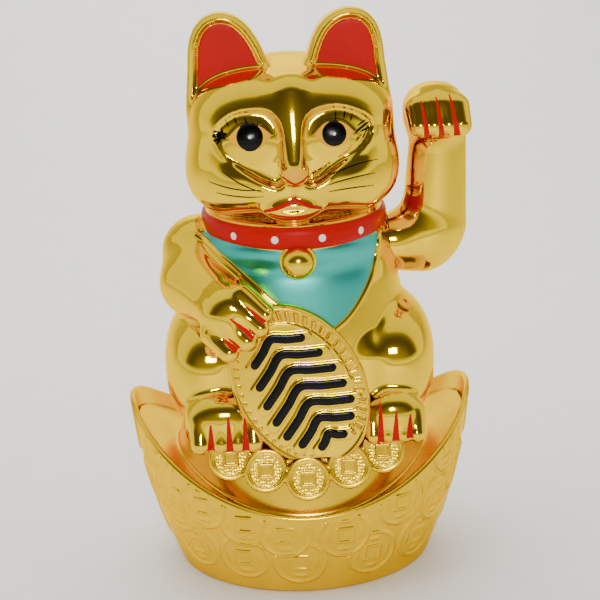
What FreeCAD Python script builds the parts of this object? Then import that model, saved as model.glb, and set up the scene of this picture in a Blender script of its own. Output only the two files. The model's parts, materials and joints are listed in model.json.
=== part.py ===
import FreeCAD
import Part
import Sketcher
import math
import os

# Battery-driven beckoning cat on a boat-shaped ingot.
# Millimetres; +Z up, +X to the cat's left, -Y to the front; origin under the middle of the base.

os.makedirs("parts", exist_ok=True)
doc = FreeCAD.newDocument("beckoning_cat")
sheet = doc.addObject("Spreadsheet::Sheet", "Sizes")

# ---------------------------------------------------------------- driving dimensions

SIZES = {
    # ingot base
    "foot_long": 59.6, "foot_deep": 51.5,          # half-axes of the wall's foot, on the table
    "brim_long": 78.7, "brim_deep": 72.4,          # half-axes of the flared wall at tip height
    "tip_height": 81.0, "brim_low": 40.7,          # wall's height at the tips and at mid-front
    "saddle_radius": 97.8, "saddle_length": 170,   # the brim follows this cylinder, lying along Y
    "ingot_wall_thick": 2.4, "deck_drop": 3.0, "deck_thick": 2.4, "deck_gap": 0.15,
    "mound_long": 63.0, "mound_deep": 56.0, "mound_foot": 34.0,
    "seat_long": 55.0, "seat_deep": 50.0, "seat_height": 64.0, "mound_thick": 2.2,
    "coin_radius": 9.5, "coin_thick": 6.0, "coin_lean": 15.0,
    # body and raised arm
    "shell_thick": 2.2, "seam_y": 2.0, "block": 260.0,
    "shoulder_hole": 15.2, "axle_z": 145.0, "hole_from": 34.0,
    "arm_thick": 1.8, "forearm_radius": 12.8, "forearm_x": 62.8, "forearm_top": 200.0,
    "elbow_radius": 16.2, "elbow_x": 60.0, "stub_radius": 12.6, "stub_x": 41.5,
    # plaque and bell
    "plaque_long": 37.4, "plaque_wide": 27.0, "plaque_thick": 7.0, "plaque_x": -2.0, "plaque_z": 96.4,
    "plaque_y": -49.5, "plaque_turn": 28.8, "plaque_lean": 7.0, "plaque_foot": 66.0,
    "bell_radius": 6.3, "bell_y": -46.0, "bell_z": 149.3, "bell_ring": 7.2, "bell_ring_thick": 1.2,
    # bottom cover, battery box and door
    "cover_long": 56.8, "cover_deep": 48.7, "cover_thick": 2.4, "cover_z": 1.0,
    "box_long": 64.0, "box_wide": 23.0, "box_high": 18.6, "box_wall": 1.6, "battery_y": 10.0,
    "door_long": 55.4, "door_wide": 18.8, "door_gap": 0.3, "tongue_long": 1.5, "tongue_thick": 1.2,
    "tongue_wide": 5.0, "grip_wide": 1.0, "grip_deep": 0.6, "grip_pitch": 2.0,
    "battery_radius": 7.2, "battery_long": 49.2, "battery_z": 12.4, "nub_radius": 2.7, "nub_long": 1.2,
    "plate_thick": 0.5, "plate_side": 11.0, "spring_radius": 3.4, "spring_wire": 0.4, "spring_pitch": 1.5,
    "spring_long": 3.6,
    # switch
    "switch_x": -6.0, "switch_y": -22.0, "switch_long": 15.0, "switch_wide": 7.0, "switch_high": 5.5,
    "switch_wall": 1.0, "knob_long": 4.0, "knob_wide": 2.6, "knob_reach": 2.8, "knob_travel": 4.0,
    "slider_long": 7.6, "slider_high": 2.4, "knob_gap": 0.3,
    # self-tapping screws and their posts
    "post_x": 38.0, "post_y": 28.0, "post_radius": 3.6, "pilot_radius": 1.5, "pilot_deep": 12.0,
    "screw_radius": 1.4, "screw_head": 2.9, "head_thick": 1.0, "sink_radius": 3.2, "sink_deep": 1.2,
    "clear_radius": 1.7, "screw_long": 9.0,
    # swing mechanism
    "frame_long": 54.0, "frame_deep": 41.0, "frame_thick": 2.4, "cheek_x": 16.0, "cheek_thick": 3.0,
    "cheek_foot": 24.0, "cheek_head": 7.0, "frame_post_x": 22.0, "frame_post_y": 14.0,
    "bush_radius": 3.0, "bush_flange": 4.4, "bush_flange_thick": 1.0, "axle_radius": 1.5,
    "running_gap": 0.05, "axle_from": -22.0, "axle_to": 60.0, "clip_radius": 3.4, "clip_thick": 0.8,
    "clip_x": -20.8, "glue_gap": 0.02, "hub_radius": 4.2, "hub_long": 9.0,
    "lever_wide": 6.0, "lever_thick": 2.6, "lever_foot_z": 79.0, "cup_radius": 6.6, "cup_high": 4.4,
    "magnet_radius": 5.0, "magnet_thick": 3.0, "magnet_z": 76.2, "weight_side": 15.0, "weight_high": 12.0,
    "weight_z": 84.0, "weight_y": 3.0,
    # drive board
    "board_long": 28.0, "board_deep": 30.0, "board_thick": 1.4, "board_z": 67.0,
    "bobbin_flange": 8.5, "bobbin_core": 4.0, "bobbin_high": 4.6, "bobbin_web": 0.8, "coil_radius": 7.8,
    "can_radius": 2.5, "can_high": 5.0, "chip_side": 4.6, "part_gap": 0.1,
    # internal wires
    "wire_radius": 0.7, "wire_bend": 8.0, "wire_x": 11.0, "wire_y": -16.5, "wire_hole": 2.5,
}

# Rounded masses of the cat: centre x, y, z, half-widths in x, y, z, and the side its surface seam faces.
MASSES = {
    "belly": (0, 2, 92, 55, 50, 44, "-Y"),
    "chest": (0, -2, 126, 47, 43, 46, "+Y"),
    "collar": (0, -2, 160.5, 43, 44, 10, "+X"),
    "head": (0, -2, 197.5, 45, 38, 35, "+Y"),
    "right_ear": (-26.5, 2, 214, 18, 8, 36, "-X"),
    "left_ear": (26.5, 2, 214, 18, 8, 36, "+X"),
    "muzzle": (0, -36, 178, 15, 13, 12, "+Y"),
    "right_haunch": (-41, -8, 96, 19.5, 36, 30, "+X"),
    "left_haunch": (41, -8, 96, 19.5, 36, 30, "-X"),
    "right_foot": (-35.5, -42, 78, 17, 15, 14, "+Y"),
    "left_foot": (39.5, -40, 77, 12, 15, 13, "+Y"),
    "shoulder": (-43, -8, 140, 17, 20, 23, "+X"),
    "right_forearm": (-38, -30, 131, 15, 24, 14, "+X"),
    "right_paw": (-25, -47, 124, 11, 12.5, 12.5, "+Y"),
    "tail": (20, 46, 84, 22, 9, 12, "-Y"),
    "raised_paw": (62.3, -5, 204, 14.3, 16, 13.3, "+Y"),
}
HOLLOW_MASSES = ("belly", "chest", "collar", "head", "right_haunch", "left_haunch", "shoulder")
SEAM_TURNS = {"+X": 0, "+Y": 90, "-X": 180, "-Y": 270}
MASS_CELLS = ("x", "y", "z", "rx", "ry", "rz")

# Front coins: offset to the side, forward place and height, from the middle one outwards.
COINS = {"coin_mid": (0, -54.5, 56), "coin_near": (17.8, -53.0, 60), "coin_far": (32.7, -48.5, 64.5)}


def fill_sheet():
    """Writes every driving dimension to the sheet as plain text with its name as alias."""
    cells = dict(SIZES)
    for name, values in MASSES.items():
        cells.update({f"{name}_{cell}": value for cell, value in zip(MASS_CELLS, values)})
    for name, values in COINS.items():
        cells.update({f"{name}_{cell}": value for cell, value in zip("xyz", values)})
    for row, (name, value) in enumerate(cells.items(), start=1):
        sheet.set(f"A{row}", name)
        sheet.set(f"B{row}", str(value))
        sheet.setAlias(f"B{row}", name)
    doc.recompute()


# ---------------------------------------------------------------- helpers


def size(name):
    """The value of one cell, for the few pieces whose Shape is set directly."""
    return float(getattr(sheet, name))


def bind(thing, **expressions):
    """Binds properties to expressions on the sheet; x, y and z stand for the placement's base."""
    for prop, text in expressions.items():
        words = text.replace("$", "Sizes.")
        thing.setExpression(f".Placement.Base.{prop}" if prop in ("x", "y", "z") else prop, words)
    return thing


def primitive(kind, name, turn=None, **expressions):
    """A Part primitive with bound sizes, turned about an axis by (axis, degrees)."""
    thing = doc.addObject(f"Part::{kind}", name)
    if turn:
        thing.Placement.Rotation = FreeCAD.Rotation(FreeCAD.Vector(*turn[0]), turn[1])
    return bind(thing, **expressions)


def fuse(name, things):
    """Adds the things together one after the other."""
    total = things[0]
    for number, thing in enumerate(things[1:], start=1):
        step = doc.addObject("Part::Fuse", name if number == len(things) - 1 else f"{name}_join_{number}")
        step.Base = total
        step.Tool = thing
        total = step
    return total


def cut(name, base, *tools):
    """Takes the tools away from the base one after the other."""
    total = base
    for number, tool in enumerate(tools, start=1):
        step = doc.addObject("Part::Cut", name if number == len(tools) else f"{name}_cut_{number}")
        step.Base = total
        step.Tool = tool
        total = step
    return total


def common(name, base, tool):
    """What the base and the tool share."""
    thing = doc.addObject("Part::Common", name)
    thing.Base = base
    thing.Tool = tool
    return thing


def group(name, things):
    """Several separate solids of one kind, kept as one sub-part."""
    thing = doc.addObject("Part::Compound", name)
    thing.Links = things
    return thing


def egg(mass, inset=""):
    """One rounded mass of the cat, smaller all round by the inset if there is one."""
    seam = MASSES[mass][-1]
    across, along = ("ry", "rx") if seam in ("+Y", "-Y") else ("rx", "ry")
    return primitive(
        "Ellipsoid", mass + ("_inner" if inset else "_outer"), ((0, 0, 1), SEAM_TURNS[seam]),
        Radius1=f"${mass}_rz {inset}", Radius2=f"${mass}_{across} {inset}", Radius3=f"${mass}_{along} {inset}",
        x=f"${mass}_x", y=f"${mass}_y", z=f"${mass}_z",
    )


def rod(name, radius, start, end, y, z):
    """A round bar along X between two expressions."""
    return primitive(
        "Cylinder", name, ((0, 1, 0), 90),
        Radius=radius, Height=f"({end}) - ({start})", x=start, y=y, z=z,
    )


def brick(name, x, y, z, long, wide, high):
    """A box centred on x and y, standing on z."""
    return primitive(
        "Box", name, Length=long, Width=wide, Height=high,
        x=f"({x}) - ({long}) / 2", y=f"({y}) - ({wide}) / 2", z=z,
    )


def oval(name, long, deep, z):
    """An oval outline lying level at height z."""
    return primitive("Ellipse", name, MajorRadius=long, MinorRadius=deep, z=z)


def oval_loft(name, lower, upper):
    """A straight-sided solid between two level ovals, each (half length, half depth, height)."""
    loft = doc.addObject("Part::Loft", name)
    loft.Sections = [oval(f"{name}_low", *lower), oval(f"{name}_high", *upper)]
    loft.Solid = True
    loft.Ruled = True
    return loft


def corners(prefix, x, y, maker):
    """One thing at each of the four corners (+-x, +-y)."""
    places = [(sx, sy) for sx in "+-" for sy in "+-"]
    return [maker(f"{prefix}_{n}", f"0 {sx} {x}", f"0 {sy} {y}") for n, (sx, sy) in enumerate(places, start=1)]


def origin_plane(body, role):
    """One of a body's own origin planes."""
    return next(feature for feature in body.Origin.OriginFeatures if feature.Role == role)


def new_sketch(body, name, role, offset="0"):
    """A sketch on one of the body's own planes, shifted along its normal."""
    sketch = body.newObject("Sketcher::SketchObject", name)
    sketch.AttachmentSupport = [(origin_plane(body, role), "")]
    sketch.MapMode = "FlatFace"
    sketch.setExpression(".AttachmentOffset.Base.z", offset.replace("$", "Sizes."))
    return sketch


def rule(sketch, expression, *constraint):
    """Adds a dimension to the sketch and binds it to the sheet."""
    index = sketch.addConstraint(Sketcher.Constraint(*constraint))
    sketch.setExpression(f"Constraints[{index}]", expression.replace("$", "Sizes."))


def polygon(sketch, points):
    """A closed outline whose corners sit at bound distances from the sketch's origin."""
    rough = [FreeCAD.Vector(n, n * n, 0) for n in range(len(points))]
    count = len(points)
    for n in range(count):
        sketch.addGeometry(Part.LineSegment(rough[n], rough[(n + 1) % count]), False)
    for n in range(count):
        sketch.addConstraint(Sketcher.Constraint("Coincident", n, 2, (n + 1) % count, 1))
    for n, (across, up) in enumerate(points):
        rule(sketch, across, "DistanceX", -1, 1, n, 1, 1.0)
        rule(sketch, up, "DistanceY", -1, 1, n, 1, 1.0)


def circle(sketch, radius, across="0", up="0"):
    """A circle with a bound radius and centre."""
    index = sketch.addGeometry(Part.Circle(FreeCAD.Vector(3, 2, 0), FreeCAD.Vector(0, 0, 1), 1), False)
    rule(sketch, radius, "Radius", index, 1.0)
    rule(sketch, across, "DistanceX", -1, 1, index, 3, 1.0)
    rule(sketch, up, "DistanceY", -1, 1, index, 3, 1.0)


def rectangle(sketch, left, right, low, high):
    """An upright rectangle between four bound distances."""
    polygon(sketch, [(left, low), (right, low), (right, high), (left, high)])


def pad(body, sketch, length, **flags):
    """Raises the sketch into the body."""
    feature = body.newObject("PartDesign::Pad", sketch.Name + "_pad")
    feature.Profile = sketch
    feature.setExpression("Length", length.replace("$", "Sizes."))
    for flag, value in flags.items():
        setattr(feature, flag, value)
    return feature


def pocket(body, sketch, length, reverse=False):
    """Sinks the sketch into the body."""
    feature = body.newObject("PartDesign::Pocket", sketch.Name + "_pocket")
    feature.Profile = sketch
    feature.Reversed = reverse
    feature.setExpression("Length", length.replace("$", "Sizes."))
    return feature


def new_body(name):
    """A body for one machined or moulded piece."""
    return doc.addObject("PartDesign::Body", name)


# ---------------------------------------------------------------- ingot base


def saddle(name, drop):
    """The cylinder that the brim follows, lowered by the given depth, lying along Y."""
    return primitive(
        "Cylinder", name, ((1, 0, 0), 90),
        Radius=f"$saddle_radius + {drop}", Height="$saddle_length",
        y="$saddle_length / 2", z="$brim_low + $saddle_radius",
    )


def flared(name, inset):
    """The flared tub of the ingot, smaller all round by the inset."""
    return oval_loft(
        name,
        (f"$foot_long - {inset}", f"$foot_deep - {inset}", "0"),
        (f"$brim_long - {inset}", f"$brim_deep - {inset}", "$tip_height"),
    )


def ingot_wall():
    """Boat-shaped outer wall, open below and above, its brim swept up to two tips."""
    tub = cut("ingot_tub", flared("ingot_outer", "0"), flared("ingot_inner", "$ingot_wall_thick"))
    return cut("ingot_wall", tub, saddle("brim_line", "0"))


def ingot_deck():
    """Dished deck with the hollow mound the cat sits on, leaning coins in front and screw posts below."""
    inside = flared("deck_outline", "($ingot_wall_thick + $deck_gap)")
    dish = cut("deck_dish", inside, saddle("deck_top", "$deck_drop"))
    mound = oval_loft(
        "mound", ("$mound_long", "$mound_deep", "$mound_foot"), ("$seat_long", "$seat_deep", "$seat_height"),
    )
    crowned = common("deck_crowned", fuse("deck_lump", [dish, mound]), saddle("deck_under", "$deck_drop + $deck_thick"))
    cavity = oval_loft(
        "mound_cavity",
        ("$mound_long - $mound_thick", "$mound_deep - $mound_thick", "$mound_foot - 4"),
        ("$seat_long - $mound_thick", "$seat_deep - $mound_thick", "$seat_height - $mound_thick"),
    )
    coined = fuse("deck_coined", [crowned, coin_row()])
    hollow = cut("deck_hollow", coined, cavity)
    posts = corners("cover_post", "$post_x", "$post_y", cover_post)
    posts += corners("frame_post", "$frame_post_x", "$frame_post_y", frame_post)
    solid = fuse("deck_posted", [hollow] + posts)
    pilots = corners("cover_pilot", "$post_x", "$post_y", cover_pilot)
    pilots += corners("frame_pilot", "$frame_post_x", "$frame_post_y", frame_pilot)
    wire_hole = primitive(
        "Cylinder", "deck_wire_hole", Radius="$wire_hole", Height="8", x="$wire_x", y="$wire_y", z="$seat_height - 6",
    )
    return cut("ingot_deck", solid, *pilots, wire_hole)


def coin_row():
    """The five overlapping coins along the front of the mound."""
    coins = [leaning_coin("coin_middle", "coin_mid", "+")]
    coins += [leaning_coin(f"coin_{which}_{side}", f"coin_{which}", sign)
              for which in ("near", "far") for side, sign in (("left", "+"), ("right", "-"))]
    return fuse("coin_row", coins)


def leaning_coin(name, cells, sign):
    """A coin on edge against the mound, facing forward and a little up."""
    coin = doc.addObject("Part::Cylinder", name)
    coin.Placement.Rotation = FreeCAD.Rotation(FreeCAD.Vector(1, 0, 0), 90 - size("coin_lean"))
    return bind(
        coin, Radius="$coin_radius", Height="$coin_thick",
        x=f"0 {sign} ${cells}_x", y=f"${cells}_y + $coin_thick / 2", z=f"${cells}_z - $coin_thick / 8",
    )


def cover_post(name, x, y):
    """Long post from the mound's roof down to the bottom cover."""
    return primitive(
        "Cylinder", name, Radius="$post_radius", x=x, y=y,
        z="$cover_z + $cover_thick", Height="$seat_height - 1 - $cover_z - $cover_thick",
    )


def cover_pilot(name, x, y):
    """Screw hole in the foot of a cover post."""
    return primitive(
        "Cylinder", name, Radius="$pilot_radius", x=x, y=y,
        z="$cover_z + $cover_thick - 1", Height="$pilot_deep + 1",
    )


def frame_post(name, x, y):
    """Short post under the mound's roof that takes a mechanism screw."""
    return primitive(
        "Cylinder", name, Radius="$post_radius", x=x, y=y,
        z="$seat_height - $pilot_deep", Height="$pilot_deep - 1",
    )


def frame_pilot(name, x, y):
    """Screw hole from the mound's roof into a mechanism post."""
    return primitive(
        "Cylinder", name, Radius="$pilot_radius", x=x, y=y,
        z="$seat_height - $pilot_deep + 1.5", Height="$pilot_deep",
    )


# ---------------------------------------------------------------- cat's body


def cat_shells():
    """Head and body as two hollow halves, front and rear, that meet on one upright seam."""
    masses = [egg(mass) for mass in MASSES if mass != "raised_paw"]
    skin = fuse("cat_skin", masses)
    core = fuse("cat_core", [egg(mass, "- $shell_thick") for mass in HOLLOW_MASSES])
    hollow = cut("cat_hollow", skin, core)
    opening = rod("shoulder_opening", "$shoulder_hole", "$hole_from", "$block / 2", "$seam_y", "$axle_z")
    opened = cut("cat_opened", hollow, opening)
    # the row of coins stands in front of the feet, which are moulded round it
    front = cut("body_front_shell", common(
        "front_blank", opened,
        brick("front_half", "0", "$seam_y - $block / 2", "$seat_height", "$block", "$block", "$block"),
    ), doc.getObject("coin_row"))
    rear = common(
        "body_rear_shell", opened,
        brick("rear_half", "0", "$seam_y + $block / 2", "$seat_height", "$block", "$block", "$block"),
    )
    return [front, rear]


def arm_masses(inset):
    """Upright forearm, round elbow and the stub that turns in the shoulder opening."""
    suffix = "_inner" if inset else "_outer"
    forearm = primitive(
        "Cylinder", "forearm" + suffix, Radius=f"$forearm_radius {inset}",
        Height="$forearm_top - $axle_z", x="$forearm_x", y="$seam_y", z="$axle_z",
    )
    elbow = primitive(
        "Sphere", "elbow" + suffix, Radius=f"$elbow_radius {inset}", x="$elbow_x", y="$seam_y", z="$axle_z",
    )
    stub_start = "$stub_x + $arm_thick" if inset else "$stub_x"
    stub = rod("stub" + suffix, f"$stub_radius {inset}", stub_start, "$elbow_x", "$seam_y", "$axle_z")
    return [elbow, forearm, egg("raised_paw", inset), stub]


def arm_shells():
    """Raised arm as two glued hollow halves with a hole for the axle at the root."""
    skin = fuse("arm_skin", arm_masses(""))
    core = fuse("arm_core", arm_masses("- $arm_thick"))
    hollow = cut("arm_hollow", skin, core)
    socket = rod("arm_socket", "$axle_radius + 2.5", "$stub_x", "$axle_to", "$seam_y", "$axle_z")
    bore = rod("arm_bore", "$axle_radius + $glue_gap", "$stub_x - 5", "$axle_to + 0.5", "$seam_y", "$axle_z")
    drilled = cut("arm_drilled", fuse("arm_socketed", [hollow, socket]), bore)
    front = common(
        "arm_front_shell", drilled,
        brick("arm_front_half", "0", "$seam_y - $block / 2", "0", "$block", "$block", "$block"),
    )
    rear = common(
        "arm_rear_shell", drilled,
        brick("arm_rear_half", "0", "$seam_y + $block / 2", "0", "$block", "$block", "$block"),
    )
    return [front, rear]


def koban_plaque():
    """Oval gold plaque held against the belly, leaning back, its lower end trimmed level above the coins."""
    blank = new_body("koban_blank")
    sketch = new_sketch(blank, "koban_outline", "XZ_Plane")
    sketch.addGeometry(Part.Ellipse(FreeCAD.Vector(0, 30, 0), FreeCAD.Vector(20, 0, 0), FreeCAD.Vector(0, 0, 0)), False)
    sketch.exposeInternalGeometry(0)
    sketch.addConstraint(Sketcher.Constraint("Coincident", 0, 3, -1, 1))
    sketch.addConstraint(Sketcher.Constraint("Vertical", 1))
    rule(sketch, "2 * $plaque_long", "Distance", 1, 1, 1, 2, 60.0)
    rule(sketch, "2 * $plaque_wide", "Distance", 2, 1, 2, 2, 40.0)
    pad(blank, sketch, "$plaque_thick", Midplane=True)
    lean = FreeCAD.Rotation(FreeCAD.Vector(1, 0, 0), size("plaque_lean"))
    turn = FreeCAD.Rotation(FreeCAD.Vector(0, 1, 0), -size("plaque_turn"))
    blank.Placement.Rotation = lean.multiply(turn)
    bind(blank, x="$plaque_x", y="$plaque_y", z="$plaque_z")
    space = brick("koban_space", "0", "0", "$plaque_foot", "$block", "$block", "$block")
    # the paw, belly and coins stand in front of or behind the plaque, so it gives way to them
    trimmed = common("koban_trimmed", blank, space)
    return cut("koban_plaque", trimmed, doc.getObject("cat_skin"), doc.getObject("coin_row"))


def collar_bell():
    """Round bell with a raised ring about its middle, glued in front of the collar."""
    ball = primitive("Sphere", "bell_ball", Radius="$bell_radius", y="$bell_y", z="$bell_z")
    ring = primitive(
        "Cylinder", "bell_band", ((1, 0, 0), 90), Radius="$bell_ring", Height="$bell_ring_thick",
        y="$bell_y + $bell_ring_thick / 2", z="$bell_z",
    )
    return cut("collar_bell", fuse("bell_blank", [ball, ring]), doc.getObject("cat_skin"))


# ---------------------------------------------------------------- bottom cover, door, battery and switch


def bottom_cover():
    """Oval bottom cover with the battery box, the door opening, the switch slot and four sunk screw holes."""
    outline = oval_loft(
        "cover_plate", ("$cover_long", "$cover_deep", "$cover_z"),
        ("$cover_long", "$cover_deep", "$cover_z + $cover_thick"),
    )
    top = "$cover_z + $cover_thick"
    box = brick("box_outer", "0", "$battery_y", top, "$box_long", "$box_wide", "$box_high")
    room = brick(
        "box_room", "0", "$battery_y", top, "$box_long - 2 * $box_wall", "$box_wide - 2 * $box_wall",
        "$box_high - $box_wall",
    )
    doorway = brick(
        "doorway", "0", "$battery_y", "$cover_z - 1", "$door_long + 2 * $door_gap", "$door_wide + 2 * $door_gap",
        "$cover_thick + 2",
    )
    slot = brick(
        "knob_slot", "$switch_x", "$switch_y", "$cover_z - 1", "$knob_long + $knob_travel + 2 * $knob_gap",
        "$knob_wide + 2 * $knob_gap", "$cover_thick + 2",
    )
    holes = corners("cover_hole", "$post_x", "$post_y", cover_hole)
    sinks = corners("cover_sink", "$post_x", "$post_y", cover_sink)
    wire_slot = brick("box_wire_slot", "0", "$battery_y - $box_wide / 2", "$box_high - 3", "$box_long - 8", "3", "3")
    solid = fuse("cover_blank", [outline, box])
    return cut("bottom_cover", solid, room, doorway, slot, wire_slot, *holes, *sinks)


def cover_hole(name, x, y):
    """Clearance hole for a cover screw."""
    return primitive("Cylinder", name, Radius="$clear_radius", x=x, y=y, z="$cover_z - 1", Height="$cover_thick + 2")


def cover_sink(name, x, y):
    """Counterbore that lets a screw head sit below the surface."""
    return primitive("Cylinder", name, Radius="$sink_radius", x=x, y=y, z="$cover_z - 1", Height="$sink_deep + 1")


def battery_door():
    """Flat door with two hook tongues at its hinge end and ridged finger grip at the other."""
    body = new_body("battery_door")
    plate = new_sketch(body, "door_outline", "XY_Plane")
    rectangle(plate, "-$door_long", "0", "-$door_wide / 2", "$door_wide / 2")
    pad(body, plate, "$cover_thick")
    for number, side in enumerate(("-", "+")):
        hook = new_sketch(body, f"tongue_{number}", "XY_Plane", "$cover_thick")
        near = f"0 {side} ($door_wide / 4 - $tongue_wide / 2)"
        far = f"0 {side} ($door_wide / 4 + $tongue_wide / 2)"
        low, high = (far, near) if side == "-" else (near, far)
        rectangle(hook, "-4", "$tongue_long", low, high)
        raised = pad(body, hook, "$tongue_thick")
        step = new_sketch(body, f"tongue_step_{number}", "XY_Plane", "$cover_thick")
        rectangle(step, "0", "$tongue_long + 1", low, high)
        pocket(body, step, "0.1", reverse=True)
        raised.Refine = True
    grips = new_sketch(body, "grip_groove", "XY_Plane")
    rectangle(grips, "-$door_long + 3", "-$door_long + 3 + $grip_wide", "-$door_wide / 4", "$door_wide / 4")
    groove = pocket(body, grips, "$grip_deep", reverse=True)
    doc.recompute()
    row = body.newObject("PartDesign::LinearPattern", "grip_row")
    row.Originals = [groove]
    row.Direction = (origin_plane(body, "X_Axis"), [""])
    row.Occurrences = 5
    row.setExpression("Length", "4 * Sizes.grip_pitch")
    body.Tip = row
    return bind(body, x="$door_long / 2", y="$battery_y", z="$cover_z")


def aa_battery():
    """Round cell lying along X with its raised positive cap."""
    cell = rod("cell_can", "$battery_radius", "-$battery_long / 2", "$battery_long / 2", "$battery_y", "$battery_z")
    cap = rod(
        "cell_cap", "$nub_radius", "$battery_long / 2 - 0.5", "$battery_long / 2 + $nub_long",
        "$battery_y", "$battery_z",
    )
    return fuse("aa_battery", [cell, cap])


def contact(name, side):
    """Sheet-metal contact standing against one end of the battery box."""
    inner = "($box_long / 2 - $box_wall - $plate_thick / 2 - $part_gap)"
    return brick(
        name, f"0 {side} {inner}", "$battery_y", "$battery_z - $plate_side / 2",
        "$plate_thick", "$plate_side", "$plate_side",
    )


def battery_spring():
    """Coil spring between the negative contact and the battery."""
    spine = primitive("Helix", "spring_line", Pitch="$spring_pitch", Height="$spring_long", Radius="$spring_radius")
    wire = doc.addObject("Part::Circle", "spring_wire_section")
    wire.Placement.Rotation = FreeCAD.Rotation(FreeCAD.Vector(1, 0, 0), 90)
    bind(wire, Radius="$spring_wire", x="$spring_radius")
    sweep = doc.addObject("Part::Sweep", "battery_spring")
    sweep.Sections = [wire]
    sweep.Spine = (spine, ["Edge1"])
    sweep.Solid = True
    sweep.Frenet = True
    sweep.Placement.Rotation = FreeCAD.Rotation(FreeCAD.Vector(0, 1, 0), 90)
    start = "-$box_long / 2 + $box_wall + $plate_thick + 2 * $part_gap + $spring_wire"
    return bind(sweep, x=start, y="$battery_y", z="$battery_z")


def switch_housing():
    """Small slide-switch case on the cover, open below over the slot."""
    body = new_body("switch_housing")
    base = new_sketch(body, "switch_outline", "XY_Plane")
    rectangle(base, "-$switch_long / 2", "$switch_long / 2", "-$switch_wide / 2", "$switch_wide / 2")
    pad(body, base, "$switch_high")
    room = new_sketch(body, "switch_room", "XY_Plane")
    rectangle(
        room, "-$switch_long / 2 + $switch_wall", "$switch_long / 2 - $switch_wall",
        "-$switch_wide / 2 + $switch_wall", "$switch_wide / 2 - $switch_wall",
    )
    pocket(body, room, "$switch_high - $switch_wall", reverse=True)
    return bind(body, x="$switch_x", y="$switch_y", z="$cover_z + $cover_thick")


def switch_knob():
    """Switch slider whose stem reaches down through the slot; at rest it stands at the off end."""
    start = "$switch_x - $knob_travel / 2"
    slider = brick(
        "knob_slider", start, "$switch_y", "$cover_z + $cover_thick + $part_gap",
        "$slider_long", "$switch_wide - 2 * $switch_wall - 2 * $knob_gap", "$slider_high",
    )
    stem = brick(
        "knob_stem", start, "$switch_y", "$cover_z + $cover_thick + $slider_high - 1 - $knob_reach - 1",
        "$knob_long", "$knob_wide", "$knob_reach + 1",
    )
    return fuse("switch_knob", [slider, stem])


def screw(name, x, y, head_z, up):
    """Pan-head self-tapping screw; up is the side the shank points to."""
    head_from = head_z if up == "+" else f"{head_z} - $head_thick"
    shank_from = f"{head_z} + $head_thick" if up == "+" else f"{head_z} - $head_thick - $screw_long"
    head = primitive("Cylinder", f"{name}_head", Radius="$screw_head", Height="$head_thick", x=x, y=y, z=head_from)
    shank = primitive("Cylinder", f"{name}_shank", Radius="$screw_radius", Height="$screw_long", x=x, y=y, z=shank_from)
    slot_from = f"{head_z} - 1" if up == "+" else f"{head_z} - 0.6"
    cross = [
        brick(f"{name}_slot_{way}", x, y, slot_from, long, wide, "1.6")
        for way, long, wide in (("a", "3.2", "0.6"), ("b", "0.6", "3.2"))
    ]
    return cut(name, fuse(f"{name}_blank", [head, shank]), *cross)


def cover_screws():
    """The four screws that hold the bottom cover."""
    return group("cover_screws", corners(
        "cover_screw", "$post_x", "$post_y",
        lambda name, x, y: screw(name, x, y, "$cover_z + $sink_deep - $head_thick", "+"),
    ))


def frame_screws():
    """The four screws that hold the mechanism frame to the mound."""
    return group("frame_screws", corners(
        "frame_screw", "$frame_post_x", "$frame_post_y",
        lambda name, x, y: screw(name, x, y, "$seat_height + $frame_thick + $head_thick", "-"),
    ))


# ---------------------------------------------------------------- swing mechanism


def mechanism_frame():
    """Base plate and two tapered cheeks that carry the axle's bushes."""
    body = new_body("mechanism_frame")
    base = new_sketch(body, "frame_base", "XY_Plane", "$seat_height")
    rectangle(base, "-$frame_long / 2", "$frame_long / 2", "-$frame_deep / 2", "$frame_deep / 2")
    pad(body, base, "$frame_thick")
    for side, sign in (("right", "-"), ("left", "+")):
        inner = f"0 {sign} $cheek_x"
        cheek = new_sketch(body, f"cheek_{side}", "YZ_Plane", f"{inner} - $cheek_thick / 2")
        foot, head = "$cheek_foot / 2", "$cheek_head"
        low, high = "$seat_height + 1", "$axle_z + $cheek_head"
        polygon(cheek, [
            (f"$seam_y - {foot}", low), (f"$seam_y + {foot}", low),
            (f"$seam_y + {head}", high), (f"$seam_y - {head}", high),
        ])
        pad(body, cheek, "$cheek_thick")
    doc.recompute()
    bearing = new_sketch(body, "bush_seat", "YZ_Plane", "-$frame_long / 2")
    circle(bearing, "$bush_radius", "$seam_y", "$axle_z")
    pocket(body, bearing, "$frame_long", reverse=True)
    fixings = new_sketch(body, "frame_fixings", "XY_Plane", "$seat_height")
    for x, y in (("+", "+"), ("+", "-"), ("-", "+"), ("-", "-")):
        circle(fixings, "$clear_radius", f"0 {x} $frame_post_x", f"0 {y} $frame_post_y")
    circle(fixings, "$wire_hole", "$wire_x", "$wire_y")
    pocket(body, fixings, "$frame_thick", reverse=True)
    return body


def bush(name, side):
    """Flanged bearing bush pressed into one cheek."""
    body = new_body(name)
    flange = new_sketch(body, f"{name}_flange", "YZ_Plane")
    circle(flange, "$bush_flange")
    circle(flange, "$axle_radius + $running_gap")
    pad(body, flange, "$bush_flange_thick")
    sleeve = new_sketch(body, f"{name}_sleeve", "YZ_Plane", "$bush_flange_thick")
    circle(sleeve, "$bush_radius")
    circle(sleeve, "$axle_radius + $running_gap")
    pad(body, sleeve, "$cheek_thick")
    if side == "-":
        return bind(body, x="-$cheek_x - $cheek_thick / 2 - $bush_flange_thick", y="$seam_y", z="$axle_z")
    body.Placement.Rotation = FreeCAD.Rotation(FreeCAD.Vector(0, 0, 1), 180)
    return bind(body, x="$cheek_x + $cheek_thick / 2 + $bush_flange_thick", y="$seam_y", z="$axle_z")


def pivot_axle():
    """Steel axle that the arm and the pendulum are both fixed to."""
    return rod("pivot_axle", "$axle_radius", "$axle_from", "$axle_to", "$seam_y", "$axle_z")


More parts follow.
